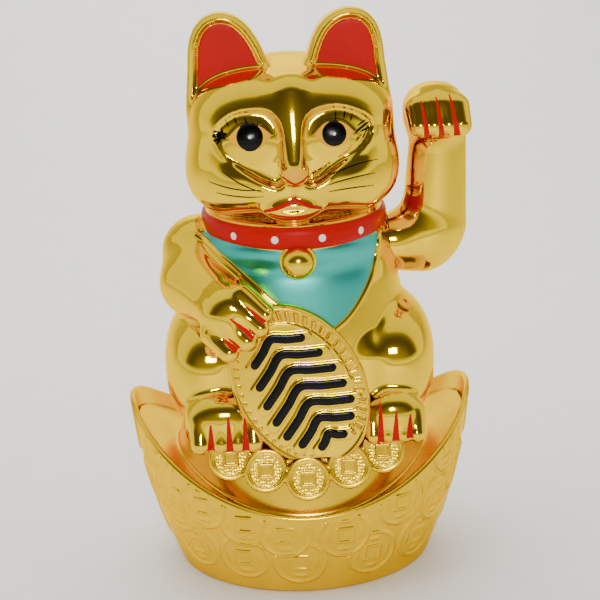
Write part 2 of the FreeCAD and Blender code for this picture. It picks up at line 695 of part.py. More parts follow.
def axle_clip():
    """Push-on clip that keeps the axle from creeping out."""
    body = new_body("axle_clip")
    ring = new_sketch(body, "clip_ring", "YZ_Plane")
    circle(ring, "$clip_radius")
    circle(ring, "$axle_radius + $glue_gap")
    pad(body, ring, "$clip_thick")
    gap = new_sketch(body, "clip_gap", "YZ_Plane")
    rectangle(gap, "-0.6", "0.6", "$axle_radius - 0.2", "$clip_radius + 1")
    pocket(body, gap, "$clip_thick", reverse=True)
    return bind(body, x="$clip_x", y="$seam_y", z="$axle_z")


def pendulum_lever():
    """Plastic lever hanging from the axle, with a cup for the magnet at its foot."""
    body = new_body("pendulum_lever")
    hub = new_sketch(body, "lever_hub", "YZ_Plane")
    circle(hub, "$hub_radius", "0", "$axle_z")
    pad(body, hub, "$hub_long", Midplane=True)
    bar = new_sketch(body, "lever_bar", "YZ_Plane")
    rectangle(bar, "-$lever_wide / 2", "$lever_wide / 2", "$lever_foot_z - 0.5", "$axle_z")
    pad(body, bar, "$lever_thick", Midplane=True)
    cup = new_sketch(body, "lever_cup", "XY_Plane", "$magnet_z - 1")
    circle(cup, "$cup_radius")
    pad(body, cup, "$cup_high")
    doc.recompute()
    seat = new_sketch(body, "magnet_seat", "XY_Plane", "$magnet_z - 1")
    circle(seat, "$magnet_radius + $glue_gap")
    pocket(body, seat, "$magnet_thick + 1", reverse=True)
    bore = new_sketch(body, "lever_bore", "YZ_Plane", "-$hub_long")
    circle(bore, "$axle_radius + $glue_gap", "0", "$axle_z")
    pocket(body, bore, "2 * $hub_long", reverse=True)
    return bind(body, y="$seam_y")


def pendulum_magnet():
    """Disc magnet in the lever's cup."""
    return primitive(
        "Cylinder", "pendulum_magnet", Radius="$magnet_radius", Height="$magnet_thick",
        y="$seam_y", z="$magnet_z",
    )


def counterweight():
    """Steel block clamped round the lever; it keeps the raised arm upright at rest."""
    block = brick(
        "weight_block", "0", "$seam_y + $weight_y", "$weight_z", "$weight_side", "$weight_side", "$weight_high",
    )
    slot = brick(
        "weight_slot", "0", "$seam_y", "$weight_z - 1", "$lever_thick + 2 * $glue_gap",
        "$lever_wide + 2 * $glue_gap", "$weight_high + 2",
    )
    return cut("counterweight", block, slot)


# ---------------------------------------------------------------- drive board and wires


def circuit_board():
    """Drive board on two edge rests of the mechanism frame."""
    return brick("circuit_board", "0", "$seam_y", "$board_z", "$board_long", "$board_deep", "$board_thick")


def coil_bobbin():
    """Spool that stands on the board under the magnet."""
    body = new_body("coil_bobbin")
    profile = new_sketch(body, "bobbin_profile", "XZ_Plane")
    core, flange, web, high = "$bobbin_core", "$bobbin_flange", "$bobbin_web", "$bobbin_high"
    polygon(profile, [
        ("1.5", "0"), (flange, "0"), (flange, web), (core, web),
        (core, f"{high} - {web}"), (flange, f"{high} - {web}"), (flange, high), ("1.5", high),
    ])
    turned = body.newObject("PartDesign::Revolution", "bobbin_turned")
    turned.Profile = profile
    turned.ReferenceAxis = (origin_plane(body, "Z_Axis"), [""])
    turned.Angle = 360
    return bind(body, y="$seam_y", z="$board_z + $board_thick")


def drive_coil():
    """Copper winding on the bobbin."""
    base = "$board_z + $board_thick + $bobbin_web + $glue_gap"
    height = "$bobbin_high - 2 * $bobbin_web - 2 * $glue_gap"
    outside = primitive("Cylinder", "coil_outside", Radius="$coil_radius", Height=height, y="$seam_y", z=base)
    inside = primitive(
        "Cylinder", "coil_inside", Radius="$bobbin_core + $glue_gap", Height=f"{height} + 2",
        y="$seam_y", z=f"{base} - 1",
    )
    return cut("drive_coil", outside, inside)


def board_components():
    """Capacitor can, transistor and resistor standing on the board."""
    top = "$board_z + $board_thick"
    can = primitive("Cylinder", "capacitor", Radius="$can_radius", Height="$can_high", x="-10.5", y="-9", z=top)
    chip = brick("transistor", "9.5", "13.5", top, "$chip_side", "3.6", "4.4")
    resistor = rod("resistor", "1.1", "-5", "3", "-10.5", f"{top} + 1.2")
    return group("board_components", [can, chip, resistor])


def wire(name, points):
    """Insulated wire along straight runs joined by tangent arcs, set as a swept solid."""
    stops = [FreeCAD.Vector(*point) for point in points]
    edges, last, radii = [], stops[0], []
    for before, here, after in zip(stops, stops[1:], stops[2:]):
        into, out = (here - before).normalize(), (after - here).normalize()
        half_turn = into.getAngle(out) / 2
        shorter = min((here - before).Length, (after - here).Length)
        radius = min(size("wire_bend"), 0.45 * shorter / math.tan(half_turn))
        reach = radius * math.tan(half_turn)
        inward = (out - into).normalize()
        start, finish = here - into * reach, here + out * reach
        middle = here + inward * (radius / math.cos(half_turn) - radius)
        edges += [Part.LineSegment(last, start).toShape(), Part.Arc(start, middle, finish).toShape()]
        last = finish
        radii.append(round(radius, 1))
    edges.append(Part.LineSegment(last, stops[-1]).toShape())
    path = Part.Wire(edges)
    section = Part.Wire(Part.makeCircle(size("wire_radius"), stops[0], stops[1] - stops[0]))
    tube = doc.addObject("Part::Feature", name)
    tube.Shape = path.makePipeShell([section], True, False)
    expected = path.Length * math.pi * size("wire_radius") ** 2
    print(f"{name}: bend radii {radii}, volume over section times length {tube.Shape.Volume / expected:.3f}")
    return tube


def leads():
    """Battery wires, from the contacts up through the mound and the frame to the front of the drive board."""
    end_x = size("box_long") / 2 - 6
    side_y = size("battery_y") - size("box_wide") / 2 - 2
    hole_x, hole_y = size("wire_x"), size("wire_y")
    board_top = size("board_z") + size("board_thick")
    pad_y = size("seam_y") - size("board_deep") / 2 + 2
    crest = board_top + 5
    made = []
    for name, side, shift in (("lead_red", 1, 1.0), ("lead_black", -1, -1.0)):
        rise_x = hole_x + shift
        made.append(wire(name, [
            (side * end_x, side_y, 17), (side * (end_x - 4), side_y - 6, 26), (rise_x + side * 3, hole_y + 1, 37),
            (rise_x, hole_y, 52), (rise_x, hole_y, crest), (rise_x, pad_y, crest), (rise_x, pad_y, board_top + 0.1),
        ]))
    return made


# ---------------------------------------------------------------- assembly, checks and export


def build():
    """Makes every sub-part; the label of each is the name of its file."""
    fill_sheet()
    pieces = [ingot_wall(), ingot_deck()]
    pieces += cat_shells()
    pieces += [koban_plaque(), collar_bell()]
    pieces += arm_shells()
    pieces += [bottom_cover(), battery_door(), aa_battery(), battery_spring()]
    pieces += [contact("spring_contact", "-"), contact("cap_contact", "+")]
    pieces += [switch_housing(), switch_knob(), cover_screws(), frame_screws()]
    pieces += [mechanism_frame(), bush("bush_right", "-"), bush("bush_left", "+")]
    pieces += [pivot_axle(), axle_clip(), pendulum_lever(), pendulum_magnet(), counterweight()]
    pieces += [circuit_board(), coil_bobbin(), drive_coil(), board_components()]
    pieces += leads()
    doc.recompute()
    return pieces


def check(pieces):
    """Stops if any object failed or any sub-part's shape is missing or not valid."""
    for thing in doc.Objects:
        if "Invalid" in thing.State or "Error" in thing.State:
            raise RuntimeError(f"{thing.Name} failed: {thing.State}")
    for piece in pieces:
        if piece.Shape.isNull() or not piece.Shape.isValid() or not piece.Shape.Solids:
            raise RuntimeError(f"{piece.Label} has no valid solid")
        print(f"{piece.Label}: {len(piece.Shape.Solids)} solid(s), {piece.Shape.Volume:.0f} mm3")


sub_parts = build()
check(sub_parts)
for sub_part in sub_parts:
    sub_part.Shape.exportStep(f"parts/{sub_part.Label}.step")
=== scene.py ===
import json
import math

import bmesh
import bpy
import numpy as np
from mathutils import Matrix, Vector
from mathutils.geometry import delaunay_2d_cdt


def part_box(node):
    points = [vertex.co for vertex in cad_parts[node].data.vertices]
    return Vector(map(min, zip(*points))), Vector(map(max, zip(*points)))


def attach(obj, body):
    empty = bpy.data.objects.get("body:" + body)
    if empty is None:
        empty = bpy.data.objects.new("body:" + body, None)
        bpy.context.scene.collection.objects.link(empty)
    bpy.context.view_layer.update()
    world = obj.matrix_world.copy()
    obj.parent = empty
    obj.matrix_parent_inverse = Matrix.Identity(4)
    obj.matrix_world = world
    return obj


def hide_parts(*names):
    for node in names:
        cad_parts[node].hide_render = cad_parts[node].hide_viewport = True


# Looks of the battery-driven beckoning cat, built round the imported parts.
# Shapes are worked out in millimetres, +Z up, with the cat facing -Y, and reach Blender in metres.

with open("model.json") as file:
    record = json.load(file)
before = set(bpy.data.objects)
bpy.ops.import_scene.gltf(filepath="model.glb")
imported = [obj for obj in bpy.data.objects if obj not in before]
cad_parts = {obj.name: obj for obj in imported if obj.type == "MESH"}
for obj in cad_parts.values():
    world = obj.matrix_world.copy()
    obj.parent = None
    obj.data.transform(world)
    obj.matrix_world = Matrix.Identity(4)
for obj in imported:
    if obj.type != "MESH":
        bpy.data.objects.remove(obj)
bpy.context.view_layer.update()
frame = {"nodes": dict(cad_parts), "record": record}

MM = 0.001
COARSE = 1.0

# ---- sizes taken from the frame


def node_box(node):
    """Lowest and highest corner of a CAD node, in millimetres."""
    low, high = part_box(node)
    return np.array(low) / MM, np.array(high) / MM


FRONT_SHELL = node_box("body_front_shell")
BELL_BOX = node_box("collar_bell")

SEAM_Y = FRONT_SHELL[1][1]              # the moulded halves meet on this plane
SEAT_Z = FRONT_SHELL[0][2]              # the body's open bottom stands here
AXLE_Z = 145.0                          # the raised arm turns about this height

BODY_WALL, ARM_WALL = 2.2, 1.8          # thickness of the hollow mouldings
SHOULDER_HOLE = 15.2                    # radius of the round opening for the raised arm
HOLE_FROM_X = 34.0                      # the opening starts here
ARM_FROM_X = 41.5                       # and the raised arm's stub here
SEAM_GAP = 0.05                         # half of the hairline left between two mated shells

# ---- signed distances


def vec(*numbers):
    return np.array(numbers, float)


def length(v):
    return np.sqrt((v * v).sum(-1))


def full_turn(count):
    """Evenly spaced angles once round."""
    return np.linspace(0, 2 * math.pi, count, endpoint=False)


def egg(p, centre, radii, power=2.0):
    """Ellipsoid; a power above 2 squares it up."""
    radii = vec(*radii)
    q = np.maximum(np.abs(p - vec(*centre)) / radii, 1e-6)
    size = (q ** power).sum(1) ** (1 / power)
    steep = length((q / size[:, None]) ** (power - 1) / radii)
    return (size - 1) / steep


def limb(p, start, end, start_radius, end_radius=None):
    """Rounded rod whose radius runs from one end's to the other's."""
    start, end = vec(*start), vec(*end)
    end_radius = start_radius if end_radius is None else end_radius
    axis = end - start
    along = np.clip((p - start) @ axis / (axis @ axis), 0, 1)
    return length(p - start - along[:, None] * axis) - (start_radius + (end_radius - start_radius) * along)


def melt(a, b, soft):
    """Union with a fillet of about this radius."""
    bite = np.maximum(soft - np.abs(a - b), 0) / soft
    return np.minimum(a, b) - bite * bite * soft / 4


def melt_all(parts, soft):
    total = parts[0]
    for part in parts[1:]:
        total = melt(total, part, soft)
    return total


def carve(a, tool, soft):
    """a with the tool cut away, its edges eased."""
    return -melt(-a, tool, soft)


def polygon(x, z, corners):
    """Signed distance to a flat convex outline whose corners run anticlockwise."""
    inside = np.full(x.shape, np.inf)
    nearest = np.full(x.shape, np.inf)
    for i in range(len(corners)):
        (ax, az), (bx, bz) = corners[i], corners[(i + 1) % len(corners)]
        ex, ez = bx - ax, bz - az
        t = np.clip(((x - ax) * ex + (z - az) * ez) / (ex * ex + ez * ez), 0, 1)
        nearest = np.minimum(nearest, np.hypot(x - ax - t * ex, z - az - t * ez))
        inside = np.minimum(inside, ex * (z - az) - ez * (x - ax))
    return np.where(inside > 0, -nearest, nearest)


def slope(shape, points, reach=0.04):
    """Gradient of a signed distance, from four samples round each point."""
    total = np.zeros_like(points)
    for corner in ((1, -1, -1), (-1, -1, 1), (-1, 1, -1), (1, 1, 1)):
        total += vec(*corner) * shape(points + reach * vec(*corner))[:, None]
    return total / (4 * reach)


def facing(shape, points):
    g = slope(shape, points)
    return g / np.maximum(length(g), 1e-9)[:, None]


# ---- meshing


def stops(*runs):
    """Grid stops along one axis, from (start, end, step) runs laid end to end."""
    marks = [np.linspace(a, b, max(2, round((b - a) / (step * COARSE)) + 1)) for a, b, step in runs]
    return np.unique(np.round(np.concatenate(marks), 3))


def sample(shape, axes, block=5):
    """Signed distance on a grid: exact near the surface, only signed elsewhere."""
    starts = [np.arange(0, len(a), block) for a in axes]
    ends = [np.minimum(s + block, len(a)) - 1 for s, a in zip(starts, axes)]
    middles = [(a[s] + a[e]) / 2 for a, s, e in zip(axes, starts, ends)]
    halves = [(a[e] - a[s]) / 2 + np.diff(a).max() for a, s, e in zip(axes, starts, ends)]
    centres = np.stack(np.meshgrid(*middles, indexing="ij"), -1)
    reach = np.sqrt(sum(h ** 2 for h in np.meshgrid(*halves, indexing="ij")))
    rough = shape(centres.reshape(-1, 3)).reshape(reach.shape)

    def spread(values):
        for axis, marks in enumerate(axes):
            values = np.repeat(values, block, axis=axis).take(range(len(marks)), axis=axis)
        return values

    near = spread(np.abs(rough) < 1.5 * reach + 1)
    values = spread(np.where(rough < 0, -99.0, 99.0))
    where = np.argwhere(near)
    points = np.stack([a[where[:, i]] for i, a in enumerate(axes)], 1)
    found = [shape(part) for part in np.array_split(points, 1 + len(points) // 200000)]
    values[near] = np.concatenate(found)
    return values


def relaxed(points, quads, share=0.6):
    """Moves each point towards the middle of its neighbours, which evens out the quads."""
    ends = np.concatenate([quads, np.roll(quads, 1, 1)]).ravel()
    others = np.concatenate([np.roll(quads, 1, 1), quads]).ravel()
    count = np.maximum(np.bincount(ends, minlength=len(points)), 1)
    middle = np.stack([np.bincount(ends, points[others, i], len(points)) / count for i in range(3)], 1)
    return points + share * (middle - points)


def net(shape, xs, ys, zs, rounds=4):
    """Surface net of shape = 0: points slid onto the surface, and quads that face outwards."""
    axes = (xs, ys, zs)
    grid = sample(shape, axes)
    inside = grid < 0
    size = np.array(grid.shape) - 1
    corners = [vec(*c).astype(int) for c in np.ndindex(2, 2, 2)]
    count = sum(inside[c[0]:c[0] + size[0], c[1]:c[1] + size[1], c[2]:c[2] + size[2]].astype(np.int8)
                for c in corners)
    cells = np.argwhere((count > 0) & (count < 8))
    total = np.zeros((len(cells), 3))
    hits = np.zeros(len(cells))
    for a in corners:
        for axis in range(3):
            if a[axis]:
                continue
            b = a + np.eye(3, dtype=int)[axis]
            ia, ib = (cells + a).T, (cells + b).T
            fa, fb = grid[tuple(ia)], grid[tuple(ib)]
            cross = (fa < 0) != (fb < 0)
            t = np.where(cross, fa / np.where(cross, fa - fb, 1), 0)[:, None]
            pa = np.stack([axes[i][ia[i]] for i in range(3)], 1)
            pb = np.stack([axes[i][ib[i]] for i in range(3)], 1)
            total += cross[:, None] * (pa + (pb - pa) * t)
            hits += cross
    points = total / hits[:, None]
    label = np.full(size, -1)
    label[tuple(cells.T)] = np.arange(len(cells))
    quads = []
    for axis in range(3):
        u, v = np.eye(3, dtype=int)[(axis + 1) % 3], np.eye(3, dtype=int)[(axis + 2) % 3]
        low = inside.take(range(size[axis]), axis=axis)
        high = inside.take(range(1, size[axis] + 1), axis=axis)
        edges = np.argwhere(low != high)
        edges = edges[((edges - u - v >= 0) & (edges < size)).all(1)]
        quad = np.stack([label[tuple((edges - s).T)] for s in (u + v, v, 0 * u, u)], 1)
        leaving = low[tuple(edges.T)]
        quads.append(np.where(leaving[:, None], quad, quad[:, ::-1]))
    quads = np.concatenate(quads)
    quads = quads[(quads >= 0).all(1)]
    for settle in range(rounds):
        g = slope(shape, points)
        step = np.clip(shape(points) / np.maximum((g * g).sum(1), 0.2), -0.6, 0.6)
        points = points - step[:, None] * g
        if settle < rounds - 1:
            points = relaxed(points, quads)
    return points, quads


def placed(name, data):
    """Object made of this data, in the scene."""
    obj = bpy.data.objects.new(name, data)
    bpy.context.scene.collection.objects.link(obj)
    return obj


def smooth_faces(mesh, crease=None):
    """Shades a mesh smooth; a crease angle keeps the edges beyond it sharp."""
    mesh.polygons.foreach_set("use_smooth", [True] * len(mesh.polygons))
    if crease:
        mesh.set_sharp_from_angle(angle=math.radians(crease))


def read(items, key, size=1):
    """One property of every item of a mesh."""
    values = np.empty(len(items) * size, np.float32 if size > 1 else int)
    items.foreach_get(key, values)
    return values.reshape(-1, size) if size > 1 else values


def sliced(mesh, place, away):
    """Bmesh of a mesh without what lies past a plane."""
    rest = bmesh.new()
    rest.from_mesh(mesh)
    bmesh.ops.bisect_plane(rest, geom=rest.verts[:] + rest.edges[:] + rest.faces[:], dist=1e-7,
                           plane_co=place, plane_no=away, clear_outer=True)
    return rest


def make_object(name, points, faces, crease=None):
    """Mesh object from points in millimetres."""
    mesh = bpy.data.meshes.new(name)
    mesh.from_pydata((points * MM).tolist(), [], faces.tolist() if hasattr(faces, "tolist") else faces)
    mesh.update()
    smooth_faces(mesh, crease)
    return placed(name, mesh)


def mesh_points(obj):
    return read(obj.data.vertices, "co", 3).astype(float) / MM


def true_normals(obj, shape, near=0.08):
    """Shades the points that lie on a surface with that surface's own normals."""
    mesh = obj.data
    points = mesh_points(obj)
    faces = read(mesh.loops, "vertex_index")
    totals = read(mesh.polygons, "loop_total")
    own = np.repeat(read(mesh.polygons, "normal", 3), totals, axis=0)
    on = np.abs(shape(points)) < near
    normals = np.zeros_like(points)
    normals[on] = facing(shape, points[on])
    wanted = normals[faces]
    whole = np.repeat(np.minimum.reduceat(on[faces], np.cumsum(totals) - totals), totals)
    match = (wanted * own).sum(1)
    agree = (match > 0.6) | (whole & (np.abs(own[:, 1]) < 0.995) & (match > -0.2))
    fallback = read(mesh.vertices, "normal", 3)[faces]
    fallback = np.where((fallback * own).sum(1)[:, None] > 0.8, fallback, own)
    mesh.normals_split_custom_set(np.where(agree[:, None], wanted, fallback).tolist())


def cut_half(obj, name, side, plane_y):
    """The part of a closed mesh on one side of the plane y = plane_y, its rim closed."""
    half = sliced(obj.data, (0, plane_y * MM, 0), (0, -side, 0))
    rim = [e for e in half.edges if e.is_boundary]
    corners = list({v: None for e in rim for v in e.verts})
    place = {v: i for i, v in enumerate(corners)}
    flat = [Vector((v.co.x, v.co.z)) / MM for v in corners]
    pairs = [(place[e.verts[0]], place[e.verts[1]]) for e in rim]
    filled = delaunay_2d_cdt(flat, pairs, [], 2, 1e-7)
    for triangle in filled[2]:
        trio = [corners[filled[3][i][0]] for i in triangle]
        if len(set(trio)) == 3:
            half.faces.new(trio if side > 0 else trio[::-1])
    mesh = bpy.data.meshes.new(name)
    half.to_mesh(mesh)
    half.free()
    smooth_faces(mesh)
    return placed(name, mesh)


def thin_inside(obj, skin, wall, keep=0.12):
    """Coarsens the hidden inner face of a shell."""
    inner = np.flatnonzero(skin(mesh_points(obj)) < -0.7 * wall)
    group = obj.vertex_groups.new(name="inner")
    group.add(inner.tolist(), 1.0, "REPLACE")
    share = len(inner) / len(obj.data.vertices)
    reduce = obj.modifiers.new("reduce", "DECIMATE")
    reduce.ratio = 1 - share * (1 - keep)
    reduce.vertex_group = "inner"
    bake_modifiers(obj)
    obj.vertex_groups.clear()


def bake_modifiers(obj):
    bpy.context.view_layer.update()
    graph = bpy.context.evaluated_depsgraph_get()
    mesh = bpy.data.meshes.new_from_object(obj.evaluated_get(graph))
    obj.modifiers.clear()
    old = obj.data
    obj.data = mesh
    mesh.name = obj.name
    bpy.data.meshes.remove(old)


def shell_pair(names, skin, shell, wall, axes, near=0.08):
    """Front and rear halves of a hollow moulding, split on the seam."""
    whole = make_object("whole", *net(shell, *axes))
    halves = []
    for name, side in zip(names, (-1, 1)):
        half = cut_half(whole, name, side, SEAM_Y + side * SEAM_GAP)
        thin_inside(half, skin, wall)
        true_normals(half, skin, near)
        halves.append(half)
    bpy.data.objects.remove(whole)
    return halves


# ---- draped coats and relief


def curve(points, closed=False, per=8):
    """Smooth line through a few points; a doubled point makes a corner."""
    points = np.array(points, float)
    count = len(points)
    if closed:
        ring = np.concatenate([points[-1:], points, points[:2]])
    else:
        ring = np.concatenate([2 * points[:1] - points[1:2], points, 2 * points[-1:] - points[-2:-1]])
    spans = count if closed else count - 1
    t = np.linspace(0, 1, per, endpoint=False)[:, None]
    runs = []
    for i in range(spans):
        a, b, c, d = ring[i:i + 4]
        runs.append(0.5 * (2 * b + (c - a) * t + (2 * a - 5 * b + 4 * c - d) * t ** 2
                           + (3 * b - a - 3 * c + d) * t ** 3))
    line = np.concatenate(runs)
    return line if closed else np.concatenate([line, points[-1:]])


def drape(skin, starts, way):
    """Slides points along a direction until they rest on the surface.

    Any that pass it by go to its nearest side.
    """
    points = starts.copy()
    for _ in range(60):
        gap = skin(points)
        points += np.clip(0.85 * gap, -3, 15)[:, None] * way
        if np.abs(gap).max() < 0.004:
            break
    travel = length(points - starts)
    missed = travel > 1.6 * np.median(travel)
    if missed.any():
        along = way[missed] if np.ndim(way) > 1 else way
        stray = starts[missed] + np.median(travel) * along
        for _ in range(30):
            stray -= skin(stray)[:, None] * facing(skin, stray)
        points[missed] = stray
    return points


def slab(name, top, bottom, wrap=False, crease=35):
    """Closed solid between two sheets of rows x columns points; wrap joins the last column to the first."""
    rows, columns = top.shape[:2]
    index = np.arange(rows * columns).reshape(rows, columns)
    if wrap:
        index = np.concatenate([index, index[:, :1]], 1)
    under = index + rows * columns
    quads = [np.stack([index[:-1, :-1], index[1:, :-1], index[1:, 1:], index[:-1, 1:]], -1).reshape(-1, 4)]
    below = np.stack([under[:-1, :-1], under[:-1, 1:], under[1:, 1:], under[1:, :-1]], -1)
    quads.append(below.reshape(-1, 4))
    borders = [(index[0], under[0], True), (index[-1], under[-1], False)]
    if not wrap:
        borders += [(index[:, 0], under[:, 0], False), (index[:, -1], under[:, -1], True)]
    for over, low, flip in borders:
        wall = np.stack([over[:-1], over[1:], low[1:], low[:-1]], 1)
        quads.append(wall if flip else wall[:, ::-1])
    points = np.concatenate([top.reshape(-1, 3), bottom.reshape(-1, 3)])
    obj = make_object(name, points, np.concatenate(quads))
    tidy = bmesh.new()
    tidy.from_mesh(obj.data)
    bmesh.ops.remove_doubles(tidy, verts=tidy.verts[:], dist=2e-6)
    bmesh.ops.dissolve_degenerate(tidy, edges=tidy.edges[:], dist=1e-6)
    bmesh.ops.recalc_face_normals(tidy, faces=tidy.faces[:])
    tidy.to_mesh(obj.data)
    tidy.free()
    smooth_faces(obj.data, crease)
    return obj


def coat(name, skin, flat, lift, way=(0, 1, 0), sink=0.2, wrap=False, crease=60):
    """Thin layer draped on a surface: flat holds the start points, lift its height over the surface."""
    shape = flat.shape[:2]
    on = drape(skin, flat.reshape(-1, 3), vec(*way) if len(np.shape(way)) == 1 else way.reshape(-1, 3))
    out = facing(skin, on)
    top = on + out * np.broadcast_to(lift, shape).reshape(-1, 1)
    return slab(name, top.reshape(*shape, 3), (on - sink * out).reshape(*shape, 3), wrap, crease)


def from_front(xz, y=-90.0):
    """Start points in front of the cat for (x, z) places."""
    xz = np.asarray(xz, float)
    return np.stack([xz[..., 0], np.full(xz.shape[:-1], y), xz[..., 1]], -1)


def spot(name, skin, outline, rings=10, lift=0.12, edge=0.35, **extra):
    """Coat inside a closed outline round its middle."""
    outline = np.asarray(outline, float)
    outline = outline[length(outline - np.roll(outline, 1, 0)) > 0.04]
    middle = outline.mean(0)
    steps = np.linspace(0, 1, rings + 1)
    sheet = middle + steps[:, None, None] * (outline - middle)
    fade = np.minimum(1, (1 - steps) * length(outline - middle).mean() / edge)
    height = 0.03 + (lift - 0.03) * np.sqrt(fade)[:, None]
    return coat(name, skin, from_front(sheet), height * np.ones((1, len(outline))), wrap=True, **extra)


def stroke(name, skin, line, widths, lift=0.12, across=6, round_top=False, **extra):
    """Coat along a line of (x, z) places, with a width at each place."""
    line = np.asarray(line, float)
    widths = np.broadcast_to(widths, len(line))
    along = np.gradient(line, axis=0)
    along /= np.maximum(length(along), 1e-9)[:, None]
    side = np.stack([-along[:, 1], along[:, 0]], 1)
    steps = np.linspace(-1, 1, across + 1)
    sheet = line[:, None] + side[:, None] * (steps[None, :, None] * widths[:, None, None] / 2)
    profile = np.sqrt(1 - 0.96 * steps ** 2) if round_top else np.minimum(1, 0.25 + 2 * (1 - np.abs(steps)))
    thick = np.minimum(1, widths / widths.max() + 0.2)[:, None]
    return coat(name, skin, from_front(sheet), lift * profile[None] * thick, **extra)


def oval(centre, radii, count=48):
    angles = full_turn(count)
    return vec(*centre) + np.stack([np.cos(angles) * radii[0], np.sin(angles) * radii[1]], 1)


def tapered(start, end, widest, count=14, bow=0.0):
    """Line from start to end with a bow, and widths that swell in the middle."""
    start, end = vec(*start), vec(*end)
    t = np.linspace(0, 1, count)
    side = vec(start[1] - end[1], end[0] - start[0])
    line = start + t[:, None] * (end - start) + (4 * bow * t * (1 - t))[:, None] * side
    return line, widest * (0.15 + 0.85 * np.sin(math.pi * (0.12 + 0.8 * t)) ** 0.8)


def joined(name, pieces):
    """One object from several, for paint strokes of one colour."""
    joint_mesh = bmesh.new()
    for piece in pieces:
        joint_mesh.from_mesh(piece.data)
        bpy.data.objects.remove(piece)
    mesh = bpy.data.meshes.new(name)
    joint_mesh.to_mesh(mesh)
    joint_mesh.free()
    mesh.set_sharp_from_angle(angle=math.radians(60))
    return placed(name, mesh)


# ---- the cat's skin

COLLAR_Z = 160.4
COLLAR_DIP = 0.035                       # the collar's fall per millimetre towards the front
NECK = (40.6, 44.2)                      # half-width and half-depth of the collar
ROLL_HALF, BAND_HALF = 5.8, 4.8          # half-heights of its roll and of the red band on it
EARS = {
    -1: [(-32.6, 205.0), (-17.5, 215.0), (-20.0, 227.0), (-24.4, 235.6), (-28.6, 238.7), (-31.2, 235.6),
         (-32.2, 226.0)],
    1: [(16.0, 215.0), (31.4, 205.0), (30.0, 226.0), (28.6, 236.0), (26.2, 238.9), (21.6, 236.0),
        (18.0, 227.0)],
}
EAR_ROUND = 11.0                         # the ear's outline stands this far outside its polygon
EAR_Y = -5.5
EAR_DEEP = 11.0                          # half the ear's depth
EAR_PANEL, EAR_BEVEL, EAR_SUNK = 8.7, 2.4, 2.3     # reach, sloping edge and depth of the sunk panel
EYES = {-1: (-18.2, 201.0), 1: (16.4, 201.0)}
SOCKETS = {
    -1: [(-27.6, 195.6), (-21.5, 190.2), (-11.5, 184.4), (-7.0, 184.0), (-6.9, 193.0), (-7.4, 203.0),
         (-10.4, 208.2), (-15.0, 209.6), (-24.0, 208.2), (-30.2, 202.6)],
    1: [(5.2, 184.2), (9.2, 184.4), (16.8, 190.2), (27.2, 196.4), (30.8, 203.0), (26.0, 207.4),
        (17.3, 210.0), (8.8, 208.2), (5.7, 203.4), (5.2, 193.0)],
}
SOCKET_BACK = -22.0                      # the sockets end here, short of the back of the head
RIGHT_TOES = [(-45.0, 82.5), (-36.2, 84.5), (-29.1, 84.5), (-22.4, 82.5)]
LEFT_TOES = [(29.0, 82.0), (35.4, 84.0), (41.8, 83.0), (47.6, 80.5)]
HOLD_FINGERS = [((-25.0, 138.4), (-15.4, 129.8), 3.7), ((-29.4, 134.0), (-17.6, 124.2), 4.4),
                ((-34.0, 128.4), (-23.4, 118.8), 5.0), ((-38.0, 120.6), (-30.8, 114.2), 4.7)]


SOCKET_LINES = {side: curve(corners, closed=True, per=3).tolist() for side, corners in SOCKETS.items()}
EAR_LINES = {side: curve(corners, closed=True, per=3).tolist() for side, corners in EARS.items()}


def ear(p, side):
    """Rounded triangular ear with a sunk panel in its front."""
    x, y, z = p.T
    outline = polygon(x, z, EAR_LINES[side])
    sunk = np.clip((EAR_PANEL - outline) / EAR_BEVEL, 0, 1)
    front = y - (EAR_Y - EAR_DEEP) - EAR_SUNK * sunk * sunk * (3 - 2 * sunk)
    return -melt(EAR_ROUND - outline, np.minimum(front, EAR_Y + EAR_DEEP - y), 6.0)


def head(p):
    x, y, z = p.T
    skull = melt(egg(p, (0, 0, 196), (44.6, 39.5, 31), 3.2), egg(p, (0, 8, 199.5), (40, 29, 31), 2.2), 6)
    jaw = egg(p, (0, -4, 180), (43.8, 36.5, 17.5), 2.5)
    total = melt(skull, jaw, 12)
    total = melt(total, egg(p, (0, -30, 181), (30, 16, 12.5), 2.2), 6)
    total = melt(total, limb(p, (-0.5, -29.5, 215), (-0.5, -42, 189), 10.0, 5.6), 6)
    for side, (eye_x, eye_z) in EYES.items():
        outline = np.maximum(polygon(x, z, SOCKET_LINES[side]) - 2.5, y - SOCKET_BACK)
        socket = -melt(-outline, skull + 1.5 + 1.2 * np.clip((z - 190) / 12, 0, 1), 4.0)
        lid = 0.45 * np.exp(-(outline / 1.4) ** 2) * np.clip((8 - np.abs(skull)) / 4, 0, 1)
        total = carve(total, socket, 2.4) - lid * np.clip((z - 184) / 8, 0, 1)
        total = melt(total, egg(p, (eye_x, -29.2, eye_z - 2.4), (13.6, 10.8, 11.0)), 4.0)
        total = melt(total, ear(p, side), 2.2)
    total = melt(total, egg(p, (-0.6, -46.5, 185.6), (6.2, 4.6, 3.9)), 1.6)
    total = melt(total, egg(p, (-1.6, -38, 171.5), (13.5, 9.5, 7.0)), 2.5)
    total = carve(total, egg(p, (-1.7, -50.5, 171.4), (10.0, 4.2, 1.5)), 1.2)
    return carve(total, egg(p, (-0.8, -52.5, 178.2), (0.9, 6.0, 3.4)), 1.6)


def toes(p, places, foot_y, radius, foot_z):
    """Row of toes that curl down over the front of a foot."""
    lobes = [limb(p, (x, foot_y + 5, z), (x, foot_y, foot_z), radius, radius - 0.5) for x, z in places]
    return melt_all(lobes, 1.3)


